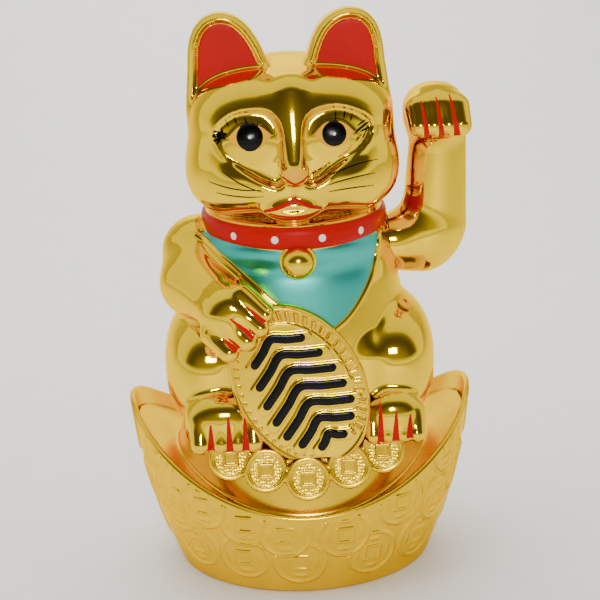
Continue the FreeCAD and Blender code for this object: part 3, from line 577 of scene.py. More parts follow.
def trunk(p):
    """Belly, chest, neck, haunches, tail and feet."""
    total = egg(p, (0, 2, 92), (55, 49, 45))
    total = melt(total, egg(p, (0, -2, 126), (46, 42.5, 46), 2.2), 16)
    total = melt(total, egg(p, (0, -2.5, 152), (41.6, 42.0, 14), 2.15), 5)
    total = melt(total, egg(p, (20, 46, 84), (22, 9, 12)), 5)
    for side in (-1, 1):
        total = melt(total, limb(p, (side * 29.5, -35, 74), (side * 29.5, -33.5, 103), 10.0), 5.0)
        total = melt(total, egg(p, (side * 41, -8, 96), (19.5, 35.5, 29), 2.3), 3.0)
    total = melt(total, egg(p, (-35.5, -40, 79), (17, 14, 14), 2.4), 3.0)
    total = melt(total, egg(p, (38.5, -39, 78), (13, 13.5, 13), 2.4), 3.0)
    total = melt(total, toes(p, RIGHT_TOES, -51.5, 4.9, 72.5), 1.6)
    return melt(total, toes(p, LEFT_TOES, -49.5, 4.4, 72.0), 1.6)


def holding_arm(p):
    """Right arm, which comes forward from the shoulder and rests its paw on the plaque."""
    upper = limb(p, (-42.5, -5, 146), (-44, -16, 135), 16.5, 15.2)
    lower = limb(p, (-44, -20, 136), (-31, -44, 129), 14.5, 11.5)
    total = melt(upper, lower, 6)
    total = melt(total, egg(p, (-29.5, -46, 128.0), (12.0, 10.5, 12.0)), 5)
    fingers = [limb(p, (a[0], -50.0, a[1]), (b[0], -55.2, b[1]), radius, radius - 0.4)
               for a, b, radius in HOLD_FINGERS]
    return melt(total, melt_all(fingers, 1.4), 3.0)


def left_shoulder(p):
    return limb(p, (20, 2, AXLE_Z), (27.5, 2, AXLE_Z), 17.0, 16.5)


def torso(p):
    return melt(melt(trunk(p), left_shoulder(p), 6), holding_arm(p), 3.0)


def body_skin(p):
    total = melt(torso(p), head(p), 2.0)
    return melt(total, neck(p), 1.0)


def body_shell(p):
    """The skin's hollow moulding, open below and at the shoulder."""
    skin = body_skin(p)
    wall = np.maximum(skin, -skin - BODY_WALL)
    hole = np.maximum(np.hypot(p[:, 1] - SEAM_Y, p[:, 2] - AXLE_Z) - SHOULDER_HOLE, HOLE_FROM_X - p[:, 0])
    wall = np.maximum(wall, -hole)
    return np.maximum(wall, SEAT_Z - p[:, 2])


def arm_skin(p):
    """Raised arm: a stub out of the shoulder, an elbow, a forearm and a curled paw."""
    stub = limb(p, (38, 2, AXLE_Z), (57.5, 2, AXLE_Z), 12.6, 14.6)
    forearm = limb(p, (63.2, 2, AXLE_Z + 9), (64.8, -1, 194), 14.6, 12.4)
    total = melt(stub, forearm, 9)
    total = melt(total, egg(p, (62.6, -5.0, 203.5), (13.7, 14.5, 13.2), 2.3), 5)
    fingers = [limb(p, (x, -15.5, 206.8), (x + lean, -19.4, 199.4), 5.3, 4.9)
               for x, lean in ((53.8, 0.8), (59.5, 1.0), (65.5, 1.2), (71.0, 0.8))]
    return melt(total, melt_all(fingers, 1.0), 4.0)


def arm_shell(p):
    skin = arm_skin(p)
    wall = np.maximum(skin, -skin - ARM_WALL)
    return np.maximum(wall, ARM_FROM_X - p[:, 0])


# ---- materials


def preset(node, values):
    """Sets a node's inputs by their names."""
    for name, value in values.items():
        node.inputs[name].default_value = value


def shader(name, colour, metallic=0.0, rough=0.4, coat_weight=0.0, vary=0.0, grain=0.0, grain_size=1.0,
           rough_vary=0.0, shine=0.5, edge=(1, 1, 1)):
    """Procedural material: colour and roughness drift a little, and a fine grain bends the light."""
    material = bpy.data.materials.new(name)
    material.use_nodes = True
    nodes, links = material.node_tree.nodes, material.node_tree.links
    surface = nodes["Principled BSDF"]
    preset(surface, {"Metallic": metallic, "Coat Weight": coat_weight, "Coat Roughness": 0.05,
                     "Specular IOR Level": shine, "Specular Tint": (*edge, 1)})
    place = nodes.new("ShaderNodeTexCoord")
    drift = nodes.new("ShaderNodeTexNoise")
    preset(drift, {"Scale": 55, "Detail": 4})
    links.new(place.outputs["Object"], drift.inputs["Vector"])
    tone = nodes.new("ShaderNodeMapRange")
    preset(tone, {"From Min": 0.3, "From Max": 0.7})
    links.new(drift.outputs["Fac"], tone.inputs["Value"])
    mix = nodes.new("ShaderNodeMix")
    mix.data_type = "RGBA"
    mix.inputs["A"].default_value = (*colour, 1)
    mix.inputs["B"].default_value = (*[c * (1 - vary) for c in colour], 1)
    links.new(tone.outputs["Result"], mix.inputs["Factor"])
    links.new(mix.outputs["Result"], surface.inputs["Base Color"])
    wear = nodes.new("ShaderNodeMapRange")
    preset(wear, {"From Min": 0.3, "From Max": 0.7, "To Min": rough, "To Max": rough + rough_vary})
    links.new(drift.outputs["Fac"], wear.inputs["Value"])
    links.new(wear.outputs["Result"], surface.inputs["Roughness"])
    if grain:
        fine = nodes.new("ShaderNodeTexNoise")
        preset(fine, {"Scale": 1 / (grain_size * MM), "Detail": 3})
        links.new(place.outputs["Object"], fine.inputs["Vector"])
        bump = nodes.new("ShaderNodeBump")
        preset(bump, {"Strength": 1, "Distance": grain * MM})
        links.new(fine.outputs["Fac"], bump.inputs["Height"])
        links.new(bump.outputs["Normal"], surface.inputs["Normal"])
    return material


GOLD = (0.96, 0.64, 0.0)
GOLD_EDGE = (1.0, 0.8, 0.12)            # tint of the gold at grazing angles
# Each slot's material: name, colour, metallic, roughness, coat, drift of the colour, grain's depth and size
# in millimetres, drift of the roughness, specular level and tint at grazing angles.
PAINTS = {
    "gold_shell": ("mirror_gold", GOLD, 1.0, 0.05, 0.0, 0.08, 0.010, 9, 0.05, 0.5, GOLD_EDGE),
    "gold_arm": ("arm_gold", GOLD, 1.0, 0.06, 0.0, 0.08, 0.010, 9, 0.05, 0.5, GOLD_EDGE),
    "gold_ingot": ("ingot_gold", (0.95, 0.60, 0.0), 1.0, 0.17, 0.0, 0.12, 0.02, 2, 0.1, 0.5, GOLD_EDGE),
    "gold_deck": ("deck_gold", (0.94, 0.60, 0.0), 1.0, 0.16, 0.0, 0.1, 0.012, 3, 0.12, 0.5, GOLD_EDGE),
    "gold_plaque": ("plaque_gold", (0.95, 0.62, 0.0), 1.0, 0.14, 0.0, 0.06, 0.01, 5, 0.08, 0.5, GOLD_EDGE),
    "gold_bell": ("bell_gold", GOLD, 1.0, 0.1, 0.0, 0.1, 0.01, 2, 0.1, 0.5, GOLD_EDGE),
    "red_paint": ("red_paint", (0.50, 0.0, 0.0), 0.0, 0.34, 0.0, 0.12, 0.01, 2, 0.1, 0.12),
    "turquoise_paint": ("turquoise_paint", (0.05, 0.50, 0.42), 0.95, 0.31, 0.0, 0.12, 0.01, 0.6, 0.08),
    "black_enamel": ("black_enamel", (0.001, 0.001, 0.001), 0.0, 0.12, 0.0, 0.3, 0.006, 2, 0.1, 0.18),
    "eye_white": ("eye_paint", (0.86, 0.42, 0.008), 0.0, 0.42, 0.0, 0.1, 0.01, 1, 0.1, 0.2),
    "white_paint": ("white_paint", (0.85, 0.83, 0.8), 0.0, 0.4, 0.2, 0.05, 0.01, 1),
    "black_cover": ("cover_plastic", (0.012, 0.012, 0.013), 0.0, 0.45, 0.0, 0.2, 0.03, 0.5, 0.15),
    "cell_jacket": ("cell_jacket", (0.05, 0.12, 0.06), 0.2, 0.3, 0.4, 0.1, 0.01),
    "contact_steel": ("contact_steel", (0.6, 0.58, 0.54), 1.0, 0.28, 0.0, 0.15, 0.01, 1.0, 0.15),
    "switch_black": ("switch_plastic", (0.015, 0.015, 0.016), 0.0, 0.5, 0.0, 0.2, 0.02),
    "switch_white": ("knob_plastic", (0.75, 0.74, 0.70), 0.0, 0.42, 0.0, 0.06, 0.02),
    "screw_steel": ("screw_steel", (0.5, 0.5, 0.5), 1.0, 0.32, 0.0, 0.15, 0.01, 1.0, 0.12),
    "frame_white": ("frame_plastic", (0.72, 0.71, 0.67), 0.0, 0.45, 0.0, 0.06, 0.02),
    "bush_brass": ("bush_brass", (0.75, 0.53, 0.2), 1.0, 0.3, 0.0, 0.15, 0.01),
    "axle_steel": ("axle_steel", (0.62, 0.62, 0.63), 1.0, 0.2, 0.0, 0.1, 0.006, 1.0, 0.1),
    "lever_white": ("lever_plastic", (0.76, 0.75, 0.72), 0.0, 0.45, 0.0, 0.06, 0.02),
    "magnet_grey": ("magnet_ferrite", (0.07, 0.07, 0.075), 0.3, 0.55, 0.0, 0.25, 0.03),
    "weight_steel": ("weight_steel", (0.42, 0.42, 0.43), 1.0, 0.42, 0.0, 0.2, 0.02, 1.0, 0.15),
    "board_green": ("board_laminate", (0.02, 0.16, 0.06), 0.0, 0.38, 0.3, 0.2, 0.01),
    "coil_copper": ("coil_copper", (0.72, 0.26, 0.1), 1.0, 0.3, 0.0, 0.15, 0.03, 0.3),
    "part_black": ("component_black", (0.02, 0.02, 0.022), 0.0, 0.4, 0.0, 0.2, 0.02),
    "wire_red": ("wire_red", (0.5, 0.02, 0.02), 0.0, 0.4, 0.0, 0.1, 0.01),
    "wire_black": ("wire_black", (0.02, 0.02, 0.02), 0.0, 0.4, 0.0, 0.1, 0.01),
}
MATERIALS = {slot: shader(*paint) for slot, paint in PAINTS.items()}


def finish_piece(obj, slot, body, replaces=()):
    obj.data.materials.clear()
    obj.data.materials.append(MATERIALS[slot])
    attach(obj, body)
    if replaces:
        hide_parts(*replaces)
    return obj


# ---- body and raised arm

BODY_AXES = (stops((-66, 66, 1.05)), stops((-66, -20, 0.85), (-20, 60, 1.15)),
             stops((61, 150, 1.15), (150, 253, 0.85)))
ARM_AXES = (stops((38, 80, 0.8)), stops((-32, 22, 0.8)), stops((124, 222, 0.9)))


def cat_body():
    front, rear = shell_pair(("cat_body_front", "cat_body_rear"), body_skin, body_shell, BODY_WALL, BODY_AXES)
    finish_piece(front, "gold_shell", "base", ["body_front_shell"])
    finish_piece(rear, "gold_shell", "base", ["body_rear_shell"])


def raised_arm():
    front, rear = shell_pair(("raised_arm_front", "raised_arm_rear"), arm_skin, arm_shell, ARM_WALL, ARM_AXES)
    finish_piece(front, "gold_arm", "swing_arm", ["arm_front_shell"])
    finish_piece(rear, "gold_arm", "swing_arm", ["arm_rear_shell"])


# ---- painted face

EAR_PAINT = 6.6                          # the red panel reaches this far outside the ear's polygon
WHISKERS = [((-30.2, 187.4), (-13.7, 179.1), -0.06), ((-36.0, 182.5), (-14.3, 180.0), -0.05),
            ((-33.2, 177.9), (-13.5, 177.2), -0.03), ((13.3, 184.6), (34.7, 188.9), 0.05),
            ((13.2, 181.0), (33.3, 183.4), 0.04), ((13.1, 178.1), (32.8, 178.2), 0.03)]
LASHES = [((-26.6, 205.2), (-27.9, 208.2)), ((-23.3, 206.1), (-24.1, 209.0)),
          ((-19.1, 206.1), (-19.9, 208.9)), ((17.2, 206.0), (17.4, 209.9)),
          ((20.7, 206.6), (21.4, 209.8)), ((23.4, 205.6), (24.5, 208.4))]
SMUDGES = [((-33.6, 201.2), (-27.6, 202.4), 1.9), ((-33.0, 203.4), (-27.8, 201.6), 1.2),
           ((-33.2, 199.4), (-27.9, 201.2), 1.2), ((-31.4, 198.2), (-29.4, 203.8), 1.3),
           ((-29.8, 204.6), (-28.6, 200.0), 1.0), ((25.0, 200.8), (31.4, 204.4), 1.2),
           ((27.5, 200.9), (31.6, 202.2), 0.9), ((26.4, 203.4), (30.6, 205.6), 0.8)]


def painted_ears():
    for name, side in (("right", -1), ("left", 1)):
        corners = np.array(EARS[side])
        middle = corners.mean(0)
        outline = []
        for angle in full_turn(90):
            ray = vec(math.cos(angle), math.sin(angle))
            reach = np.linspace(0, 45, 900)
            along = middle + reach[:, None] * ray
            inside = polygon(along[:, 0], along[:, 1], EAR_LINES[side]) < EAR_PAINT
            outline.append(along[inside][-1])
        panel = spot(name + "_ear_panel", lambda p, s=side: ear(p, s), outline, rings=16, lift=0.15)
        finish_piece(panel, "red_paint", "base")


def painted_eyes():
    for name, (x, z), half in (("right", EYES[-1], 9.2), ("left", EYES[1], 8.6)):
        almond = curve([(x - half, z - 0.4), (x - half, z - 0.4), (x - half * 0.5, z + 3.9), (x, z + 5.2),
                        (x + half * 0.5, z + 4.0), (x + half, z + 0.2), (x + half, z + 0.2),
                        (x + half * 0.5, z - 4.2), (x, z - 5.6), (x - half * 0.5, z - 4.4)],
                       closed=True, per=6)
        finish_piece(spot(name + "_eye_field", head, almond, rings=12, lift=0.25), "eye_white", "base")
        radius = 5.75 if name == "right" else 5.3
        iris = spot(name + "_iris", head, oval((x, z), (radius, radius)), rings=14, lift=0.45, edge=1.2)
        finish_piece(iris, "black_enamel", "base")
        glint = spot(name + "_pupil_glint", head, oval((x, z), (0.95, 0.95), 24), rings=4, lift=0.55,
                     edge=0.5, sink=-0.2)
        finish_piece(glint, "white_paint", "base")


def painted_lines():
    strokes = []
    for start, end, bow in WHISKERS:
        line, widths = tapered(start, end, 0.62, 30, bow)
        strokes.append(stroke("line", head, line, widths, lift=0.1, across=4))
    for start, end in LASHES:
        line, widths = tapered(start, end, 0.65, 10)
        strokes.append(stroke("line", head, line, widths, lift=0.1, across=4))
    for start, end, width in SMUDGES:
        line, widths = tapered(start, end, width, 14)
        strokes.append(stroke("line", head, line, widths, lift=0.1, across=6))
    for x, z, half in ((*EYES[-1], 9.6), (*EYES[1], 9.0)):
        lid = curve([(x - half, z + 0.4), (x - half * 0.55, z + 4.6), (x, z + 6.0),
                     (x + half * 0.55, z + 4.8), (x + half, z + 0.8)], per=8)
        strokes.append(stroke("line", head, lid, 0.34, lift=0.08, across=4))
    finish_piece(joined("whiskers_and_lashes", strokes), "black_enamel", "base")


LIPS = [([(-5.9, 185.9), (-3.2, 184.2), (-0.6, 182.5), (-0.6, 182.5), (2.2, 184.1), (4.8, 185.9)], 1.15),
        ([(-13.6, 170.7), (-7.0, 172.9), (-1.0, 175.6), (-1.0, 175.6), (4.8, 172.9), (10.2, 171.1)], 1.9),
        ([(-11.6, 169.9), (-6.4, 168.9), (-1.4, 168.5), (4.4, 169.0), (9.2, 170.2)], 1.0)]


def painted_nose_and_mouth():
    nose = curve([(-6.0, 187.8), (-6.0, 187.8), (-0.6, 189.0), (5.0, 187.8), (5.0, 187.8), (3.0, 184.6),
                  (-0.6, 183.2), (-4.2, 184.6)], closed=True, per=6)
    finish_piece(spot("nose_pad", head, nose, rings=8, lift=0.1), "eye_white", "base")
    strokes = []
    for line, width in LIPS:
        path = curve(line, per=6)
        along = np.linspace(0, 1, len(path))
        widths = width * (0.35 + 0.65 * np.sin(math.pi * (0.1 + 0.8 * along)) ** 0.6)
        strokes.append(stroke("line", head, path, widths, lift=0.14, across=6))
    finish_piece(joined("red_lips", strokes), "red_paint", "base")


def claw(skin, start, end, width):
    """Red stroke that starts as a point and widens towards the tip of the groove."""
    line = vec(*start) + np.linspace(0, 1, 16)[:, None] * (vec(*end) - vec(*start))
    widths = width * np.linspace(0.12, 1, 16) ** 0.7
    return stroke("claw", skin, line, widths, lift=0.32, across=8)


# Each set of claws: skin and body it rides on, width, and the lines as (start, end).
CLAWS = {
    "foot_claws": (body_skin, "base", 3.1, [
        ((-40.3, 82.0), (-40.6, 70.6)), ((-32.8, 85.0), (-32.6, 69.9)), ((-25.8, 84.0), (-25.8, 70.4)),
        ((32.2, 86.4), (31.8, 69.0)), ((38.7, 83.2), (38.2, 70.4)), ((44.8, 81.4), (44.2, 71.4))]),
    "paw_claws": (body_skin, "base", 2.6, [
        ((-23.0, 134.0), (-15.8, 127.4)), ((-29.8, 129.6), (-20.6, 121.2)),
        ((-33.4, 121.0), (-27.6, 115.9))]),
    "raised_paw_claws": (arm_skin, "swing_arm", 2.7, [
        ((54.9, 210.3), (57.2, 193.8)), ((61.4, 211.6), (63.5, 193.6)), ((67.2, 212.4), (69.8, 195.6))]),
}


def painted_claws():
    for name, (skin, body, width, lines) in CLAWS.items():
        strokes = [claw(skin, start, end, width) for start, end in lines]
        finish_piece(joined(name, strokes), "red_paint", body)


# ---- collar, bib and bell


def around(heights, count, middle=(0.0, -2.0), radius=85.0):
    """Start points on a cylinder round the neck and the inward direction at each."""
    angles = full_turn(count)
    out = np.stack([np.cos(angles), np.sin(angles), np.zeros(count)], 1)
    dip = COLLAR_DIP * NECK[1] * np.sin(angles)
    height = np.array(heights)[:, None] + dip
    flat = vec(*middle, 0) + radius * out[None] + height[..., None] * vec(0, 0, 1)
    return flat, np.broadcast_to(-out[None], flat.shape)


def neck(p):
    """Oval roll of the collar, which dips a little towards the front."""
    x, y, z = p.T
    rim = (np.hypot(x / NECK[0], (y + 2) / NECK[1]) - 1) * NECK[0]
    above = z - COLLAR_Z - COLLAR_DIP * (y + 2)
    return -melt(-rim, ROLL_HALF - np.abs(above), 5.0)


def red_collar():
    heights = COLLAR_Z + np.linspace(BAND_HALF, -BAND_HALF, 13)
    flat, way = around(heights, 360)
    swell = np.sqrt(np.maximum(1 - (np.linspace(-1, 1, 13)) ** 4, 0.02))[:, None]
    band = coat("red_collar", neck, flat, 0.45 * swell + 0.02, way, sink=0.6, wrap=True)
    finish_piece(band, "red_paint", "base")
    dots = []
    for step in (-1.5, -0.5, 0.5, 1.5):
        turn = math.radians(-90 + 25.6 * step)
        out = vec(math.cos(turn), math.sin(turn), 0)
        side = vec(-out[1], out[0], 0)
        rings, spokes = 5, 24
        angle = full_turn(spokes)
        reach = 1.55 * np.linspace(0, 1, rings + 1)[:, None, None]
        flat = (vec(0, -2, COLLAR_Z + COLLAR_DIP * NECK[1] * math.sin(turn)) + 85 * out
                + reach * (np.cos(angle)[None, :, None] * side + np.sin(angle)[None, :, None] * vec(0, 0, 1)))
        fade = np.sqrt(np.maximum(1 - np.linspace(0, 1, rings + 1) ** 4, 0.05))[:, None]
        height = 0.47 + 0.14 * fade * np.ones((1, spokes))
        dots.append(coat("dot", neck, flat, height, -out, sink=-0.3, wrap=True))
    finish_piece(joined("collar_dots", dots), "white_paint", "base")


BIB_LEFT = [(-43.2, 156.6), (-38.7, 154.0), (-33.5, 150.0), (-28.0, 146.0), (-19.7, 139.2), (-11.5, 131.4),
            (-4.0, 127.4), (4.1, 123.4), (13.6, 118.4)]
BIB_RIGHT = [(13.6, 118.4), (19.6, 122.6), (25.0, 128.6), (30.0, 136.4), (34.0, 146.0), (36.4, 157.0)]


def bib():
    outline = curve([(-42.6, 156.8), (-42.6, 156.8), *BIB_LEFT[1:-1], (13.6, 118.4), (13.6, 118.4),
                     *BIB_RIGHT[1:-1], (36.0, 157.4), (36.0, 157.4), (20, 157.0), (0, 156.4), (-22, 157.0),
                     (-36, 157.6)],
                    closed=True, per=6)
    panel = spot("turquoise_bib", torso, outline, rings=40, lift=0.3, edge=1.0)
    finish_piece(panel, "turquoise_paint", "base")
    path = curve([*BIB_LEFT, *BIB_RIGHT], per=10)
    border = stroke("bib_border", torso, path, 2.9, lift=1.1, across=10, round_top=True, sink=0.5)
    finish_piece(border, "gold_shell", "base")


def bell():
    low, high = BELL_BOX
    middle = (low + high) / 2
    x, z = middle[0] - 0.6, middle[2]
    y = low[1] + 6.3

    def ring_and_ball(p):
        ball = egg(p, (x, y, z - 0.3), (6.7, 6.2, 6.6))
        around_it = np.hypot(p[:, 0] - x, p[:, 2] - z)
        ring = np.maximum(around_it - 7.2, np.abs(p[:, 1] - y - 1.6) - 0.7)
        rim = np.hypot(around_it - 7.1, p[:, 1] - y - 1.4) - 0.7
        return melt(melt(ball, ring, 0.6), rim, 0.5)

    axes = (stops((x - 9, x + 9, 0.3)), stops((y - 8, y + 8, 0.3)), stops((z - 9, z + 9, 0.3)))
    ball = make_object("neck_bell", *net(ring_and_ball, *axes))
    true_normals(ball, ring_and_ball)
    finish_piece(ball, "gold_bell", "base", ["collar_bell"])


# ---- plaque

PLAQUE = {"x": -2.0, "y": -49.5, "z": 96.4, "long": 37.4, "wide": 27.0, "thick": 7.0,
          "turn": math.radians(28.8), "lean": math.radians(7.0), "foot": 66.0}
FIELD = 0.76                            # share of the plaque's radius inside the ribbed border


def plaque_point(u, v, w):
    """Place on the plaque: u up its long axis, v across, w out of its face."""
    turn, lean = PLAQUE["turn"], PLAQUE["lean"]
    up = vec(-math.sin(turn), math.cos(turn) * math.sin(lean), math.cos(turn) * math.cos(lean))
    across = vec(math.cos(turn), math.sin(turn) * math.sin(lean), math.sin(turn) * math.cos(lean))
    out = vec(0, -math.cos(lean), math.sin(lean))
    middle = vec(PLAQUE["x"], PLAQUE["y"], PLAQUE["z"])
    return middle + u[..., None] * up + v[..., None] * across + w[..., None] * out


def chevrons():
    """Ornament of the plaque: nested chevrons along its long axis, as (points, width)."""
    lines = []
    for step in range(7):
        u = 22.5 - 7.9 * step
        half = 0.66 * PLAQUE["wide"] * math.sqrt(max(1 - (u / PLAQUE["long"]) ** 2 * 1.35, 0.1)) + 0.5
        while math.hypot((u - 0.42 * half) / PLAQUE["long"], half / PLAQUE["wide"]) > 0.8:
            half -= 0.25
        line = curve([(u - 0.42 * half, -half), (u - 0.16 * half, -half * 0.45), (u + 1.2, 0),
                      (u - 0.16 * half, half * 0.45), (u - 0.42 * half, half)], per=12)
        lines.append((line, 4.2))
    return lines


def plaque_relief(u, v):
    """Height of the plaque's face over its plain level."""
    rho = np.hypot(u / PLAQUE["long"], v / PLAQUE["wide"])
    angle = np.arctan2(v / PLAQUE["wide"], u / PLAQUE["long"])
    height = 0.6 * np.exp(-((rho - 0.955) / 0.016) ** 2)
    perimeter = 205.0
    right = (angle > -0.15) & (angle < 2.75)
    pitch = np.where(right, 4.6, 4.0)
    inner = np.where(right, 0.80, 0.855)
    outer = np.where(right, 0.935, 0.915)
    phase = np.abs(((angle * perimeter / (2 * math.pi)) / pitch) % 1 - 0.5) * pitch
    across = np.clip(phase / np.where(right, 1.25, 0.75), 0, 1)
    inside = np.clip(np.minimum(rho - inner, outer - rho) / 0.018, 0, 1)
    ribs = np.where(right, 1.15, 0.9) * np.sqrt(1 - across ** 2) * np.sqrt(inside)
    height = height + np.where(u > -30, ribs, 0)
    height = height + 0.4 * np.exp(-((rho - FIELD - 0.01) / 0.012) ** 2) * right
    for line, width in chevrons():
        gap = np.full(u.shape, 99.0)
        for i in range(0, len(line) - 1, 3):
            a, b = line[i], line[min(i + 3, len(line) - 1)]
            t = np.clip(((u - a[0]) * (b - a)[0] + (v - a[1]) * (b - a)[1]) / ((b - a) @ (b - a)), 0, 1)
            gap = np.minimum(gap, np.hypot(u - a[0] - t * (b - a)[0], v - a[1] - t * (b - a)[1]))
        height = np.maximum(height, 0.55 * (1 / (1 + np.exp((gap - width / 2 - 0.55) / 0.14))))
    return height


def plaque():
    rings, spokes = 110, 660
    rho = np.linspace(0, 1, rings + 1)[:, None] ** 0.9
    angle = full_turn(spokes)[None]
    u, v = PLAQUE["long"] * rho * np.cos(angle), PLAQUE["wide"] * rho * np.sin(angle)
    half = PLAQUE["thick"] / 2
    rolled = np.clip((1 - rho) * 27.0 / 1.3, 0, 1)
    top = plaque_point(u, v, half - 1.3 * (1 - np.sqrt(1 - (1 - rolled) ** 2)) + plaque_relief(u, v) - 0.5)
    plate = slab("koban_plate", top, plaque_point(u, v, 0 * u - half), wrap=True)
    low = sliced(plate.data, (0, 0, PLAQUE["foot"] * MM), (0, 0, -1))
    bmesh.ops.holes_fill(low, edges=[e for e in low.edges if e.is_boundary], sides=0)
    low.to_mesh(plate.data)
    low.free()
    plate.data.set_sharp_from_angle(angle=math.radians(50))
    finish_piece(plate, "gold_plaque", "base", ["koban_plaque"])
    bars = []
    for line, width in chevrons():
        across = np.linspace(-1, 1, 11)
        along = np.gradient(line, axis=0)
        along /= length(along)[:, None]
        side = np.stack([-along[:, 1], along[:, 0]], 1)
        run = np.concatenate([[0], np.cumsum(length(np.diff(line, axis=0)))])
        end = np.minimum(run, run[-1] - run) / (width / 2)
        widths = width * np.sqrt(np.clip(1 - (1 - np.minimum(end, 1)) ** 2, 0.01, 1))
        place = line[:, None] + side[:, None] * (across[None, :, None] * widths[:, None, None] / 2)
        u, v = place[..., 0], place[..., 1]
        crown = np.sqrt(1 - 0.85 * across ** 4)[None] * (0.5 + 0.5 * np.minimum(end, 1)[:, None])
        bars.append(slab("bar", plaque_point(u, v, half - 0.5 + 0.95 * crown),
                         plaque_point(u, v, 0 * u + half - 0.6)))
    finish_piece(joined("koban_chevrons", bars), "black_enamel", "base")


# ---- ingot

INGOT = {"foot_long": 59.6, "foot_deep": 51.5, "brim_long": 78.25, "brim_deep": 66.0, "tip": 81.0,
         "saddle": 97.8, "saddle_z": 138.5, "wall": 2.4}
RELIEF_COIN = 12.3
RELIEF_PLACES = [(-50.0, 19.0), (-29.2, 18.0), (-4.8, 16.5), (27.5, 17.5), (49.5, 18.5), (-58.5, 36.0),
                 (58.5, 35.5), (-28.5, 36.0), (-11.0, 31.2), (15.1, 29.6), (-46.9, 42.0), (41.2, 40.6),
                 (-66.0, 58.5), (64.0, 58.8)]


def ingot_size(z):
    """Half-length and half-depth of the ingot's outside, which bellies out between its foot and brim."""
    rise = 1 - (1 - np.clip(z / INGOT["tip"], 0, 1)) ** 1.8
    return (INGOT["foot_long"] + (INGOT["brim_long"] - INGOT["foot_long"]) * rise,
            INGOT["foot_deep"] + (INGOT["brim_deep"] - INGOT["foot_deep"]) * rise)


def wall_point(turn, z, out=0.0):
    """Point of the ingot's outer face at a turn about Z and a height, moved out along its normal."""
    long, deep = ingot_size(z)
    x, y = long * np.cos(turn), deep * np.sin(turn)
    nx, ny = np.cos(turn) / long, np.sin(turn) / deep
    size = np.hypot(nx, ny)
    nx, ny, nz = nx / size, ny / size, -0.25 + 0 * z
    size = np.sqrt(1 + nz * nz)
    return np.stack([x + out * nx / size, y + out * ny / size, z + out * nz / size], -1)


def brim_height(turn):
    """Height at which the wall meets the saddle-shaped brim."""
    z = np.full(np.shape(turn), 60.0)
    for _ in range(40):
        reach = np.clip(INGOT["saddle"] ** 2 - (ingot_size(z)[0] * np.cos(turn)) ** 2, 0, None)
        z = 0.5 * z + 0.5 * (INGOT["saddle_z"] - np.sqrt(reach))
    return z


def relief_coins():
    """Middles of the coins moulded into the wall, as (turn, height); later ones lie over earlier ones."""
    places = []
    for x, z in RELIEF_PLACES:
        turn = math.acos(x / ingot_size(z)[0])
        places += [(-turn, z), (turn, z)]
    for end in (0, math.pi):
        places += [(end, 20.0), (end - 0.34, 44.0), (end + 0.34, 44.0), (end, 63.5)]
    return places


def coin_face(s, t):
    """Height of a moulded coin at (s, t) from its middle: disc, rim, square frame and four plain bars."""
    d = np.hypot(s, t)
    square = np.maximum(np.abs(s), np.abs(t))
    height = 0.15 + 0.65 * np.exp(-((d - RELIEF_COIN + 1.2) / 0.7) ** 2)
    height += 0.6 * np.exp(-((square - 3.6) / 0.65) ** 4)
    for a, b in ((s, t), (t, s)):
        bars = np.exp(-((np.abs(a) - 7.4) / 0.8) ** 4) * np.exp(-(b / 2.6) ** 6)
        height += 0.45 * bars
    return height


def wall_relief(turn, z):
    height = np.zeros(np.broadcast(turn, z).shape)
    points = wall_point(turn + 0 * z, z + 0 * turn)
    for middle_turn, middle_z in relief_coins():
        middle = wall_point(vec(middle_turn), vec(middle_z))[0]
        ahead = wall_point(vec(middle_turn + 0.01), vec(middle_z))[0] - middle
        ahead /= length(ahead)
        rise = wall_point(vec(middle_turn), vec(middle_z + 1))[0] - middle
        rise /= length(rise)
        away = points - middle
        s, t = away @ ahead, away @ rise
        near = (np.hypot(s, t) < RELIEF_COIN) & (length(away) < 2 * RELIEF_COIN)
        height[near] = coin_face(s, t)[near]
    return height


def ingot_wall():
    columns, rows = ((900, 130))
    turn = full_turn(columns)[None]
    brim = brim_height(turn)
    share = np.linspace(0, 1, rows)[:, None]
    z = 0.4 + share * (brim - 1.6 - 0.4)
    fade = np.clip((brim - 3.5 - z) / 1.0, 0, 1) * np.clip((z - 2.0) / 1.0, 0, 1)
    face = wall_point(turn + 0 * z, z, wall_relief(turn, z) * fade - 1.0)
    lip = []
    for step in np.linspace(0, math.pi, 14)[1:-1]:
        bulge = 1.35
        lip.append(wall_point(turn, brim - 1.5 + bulge * math.sin(step), -1.2 + bulge * math.cos(step)))
    foot = [wall_point(turn, 0 * brim + 0.05, vec(-1.2)), wall_point(turn, 0 * brim + 0.15, vec(-1.05))]
    inner_rows = np.linspace(1, 0, 12)[:, None]
    inner = wall_point(turn + 0 * inner_rows, inner_rows * (brim - 1.9) + 0.05, vec(-INGOT["wall"]))
    loop = np.concatenate([np.array(foot).reshape(2, columns, 3), face, np.array(lip).reshape(12, columns, 3),
                           inner])
    count = len(loop)
    index = np.arange(count * columns).reshape(count, columns)
    index = np.concatenate([index, index[:, :1]], 1)
    index = np.concatenate([index, index[:1]], 0)
    quads = np.stack([index[:-1, :-1], index[:-1, 1:], index[1:, 1:], index[1:, :-1]], -1).reshape(-1, 4)
    wall = make_object("ingot_wall_coined", loop.reshape(-1, 3), quads, crease=60)
    finish_piece(wall, "gold_ingot", "base", ["ingot_wall"])


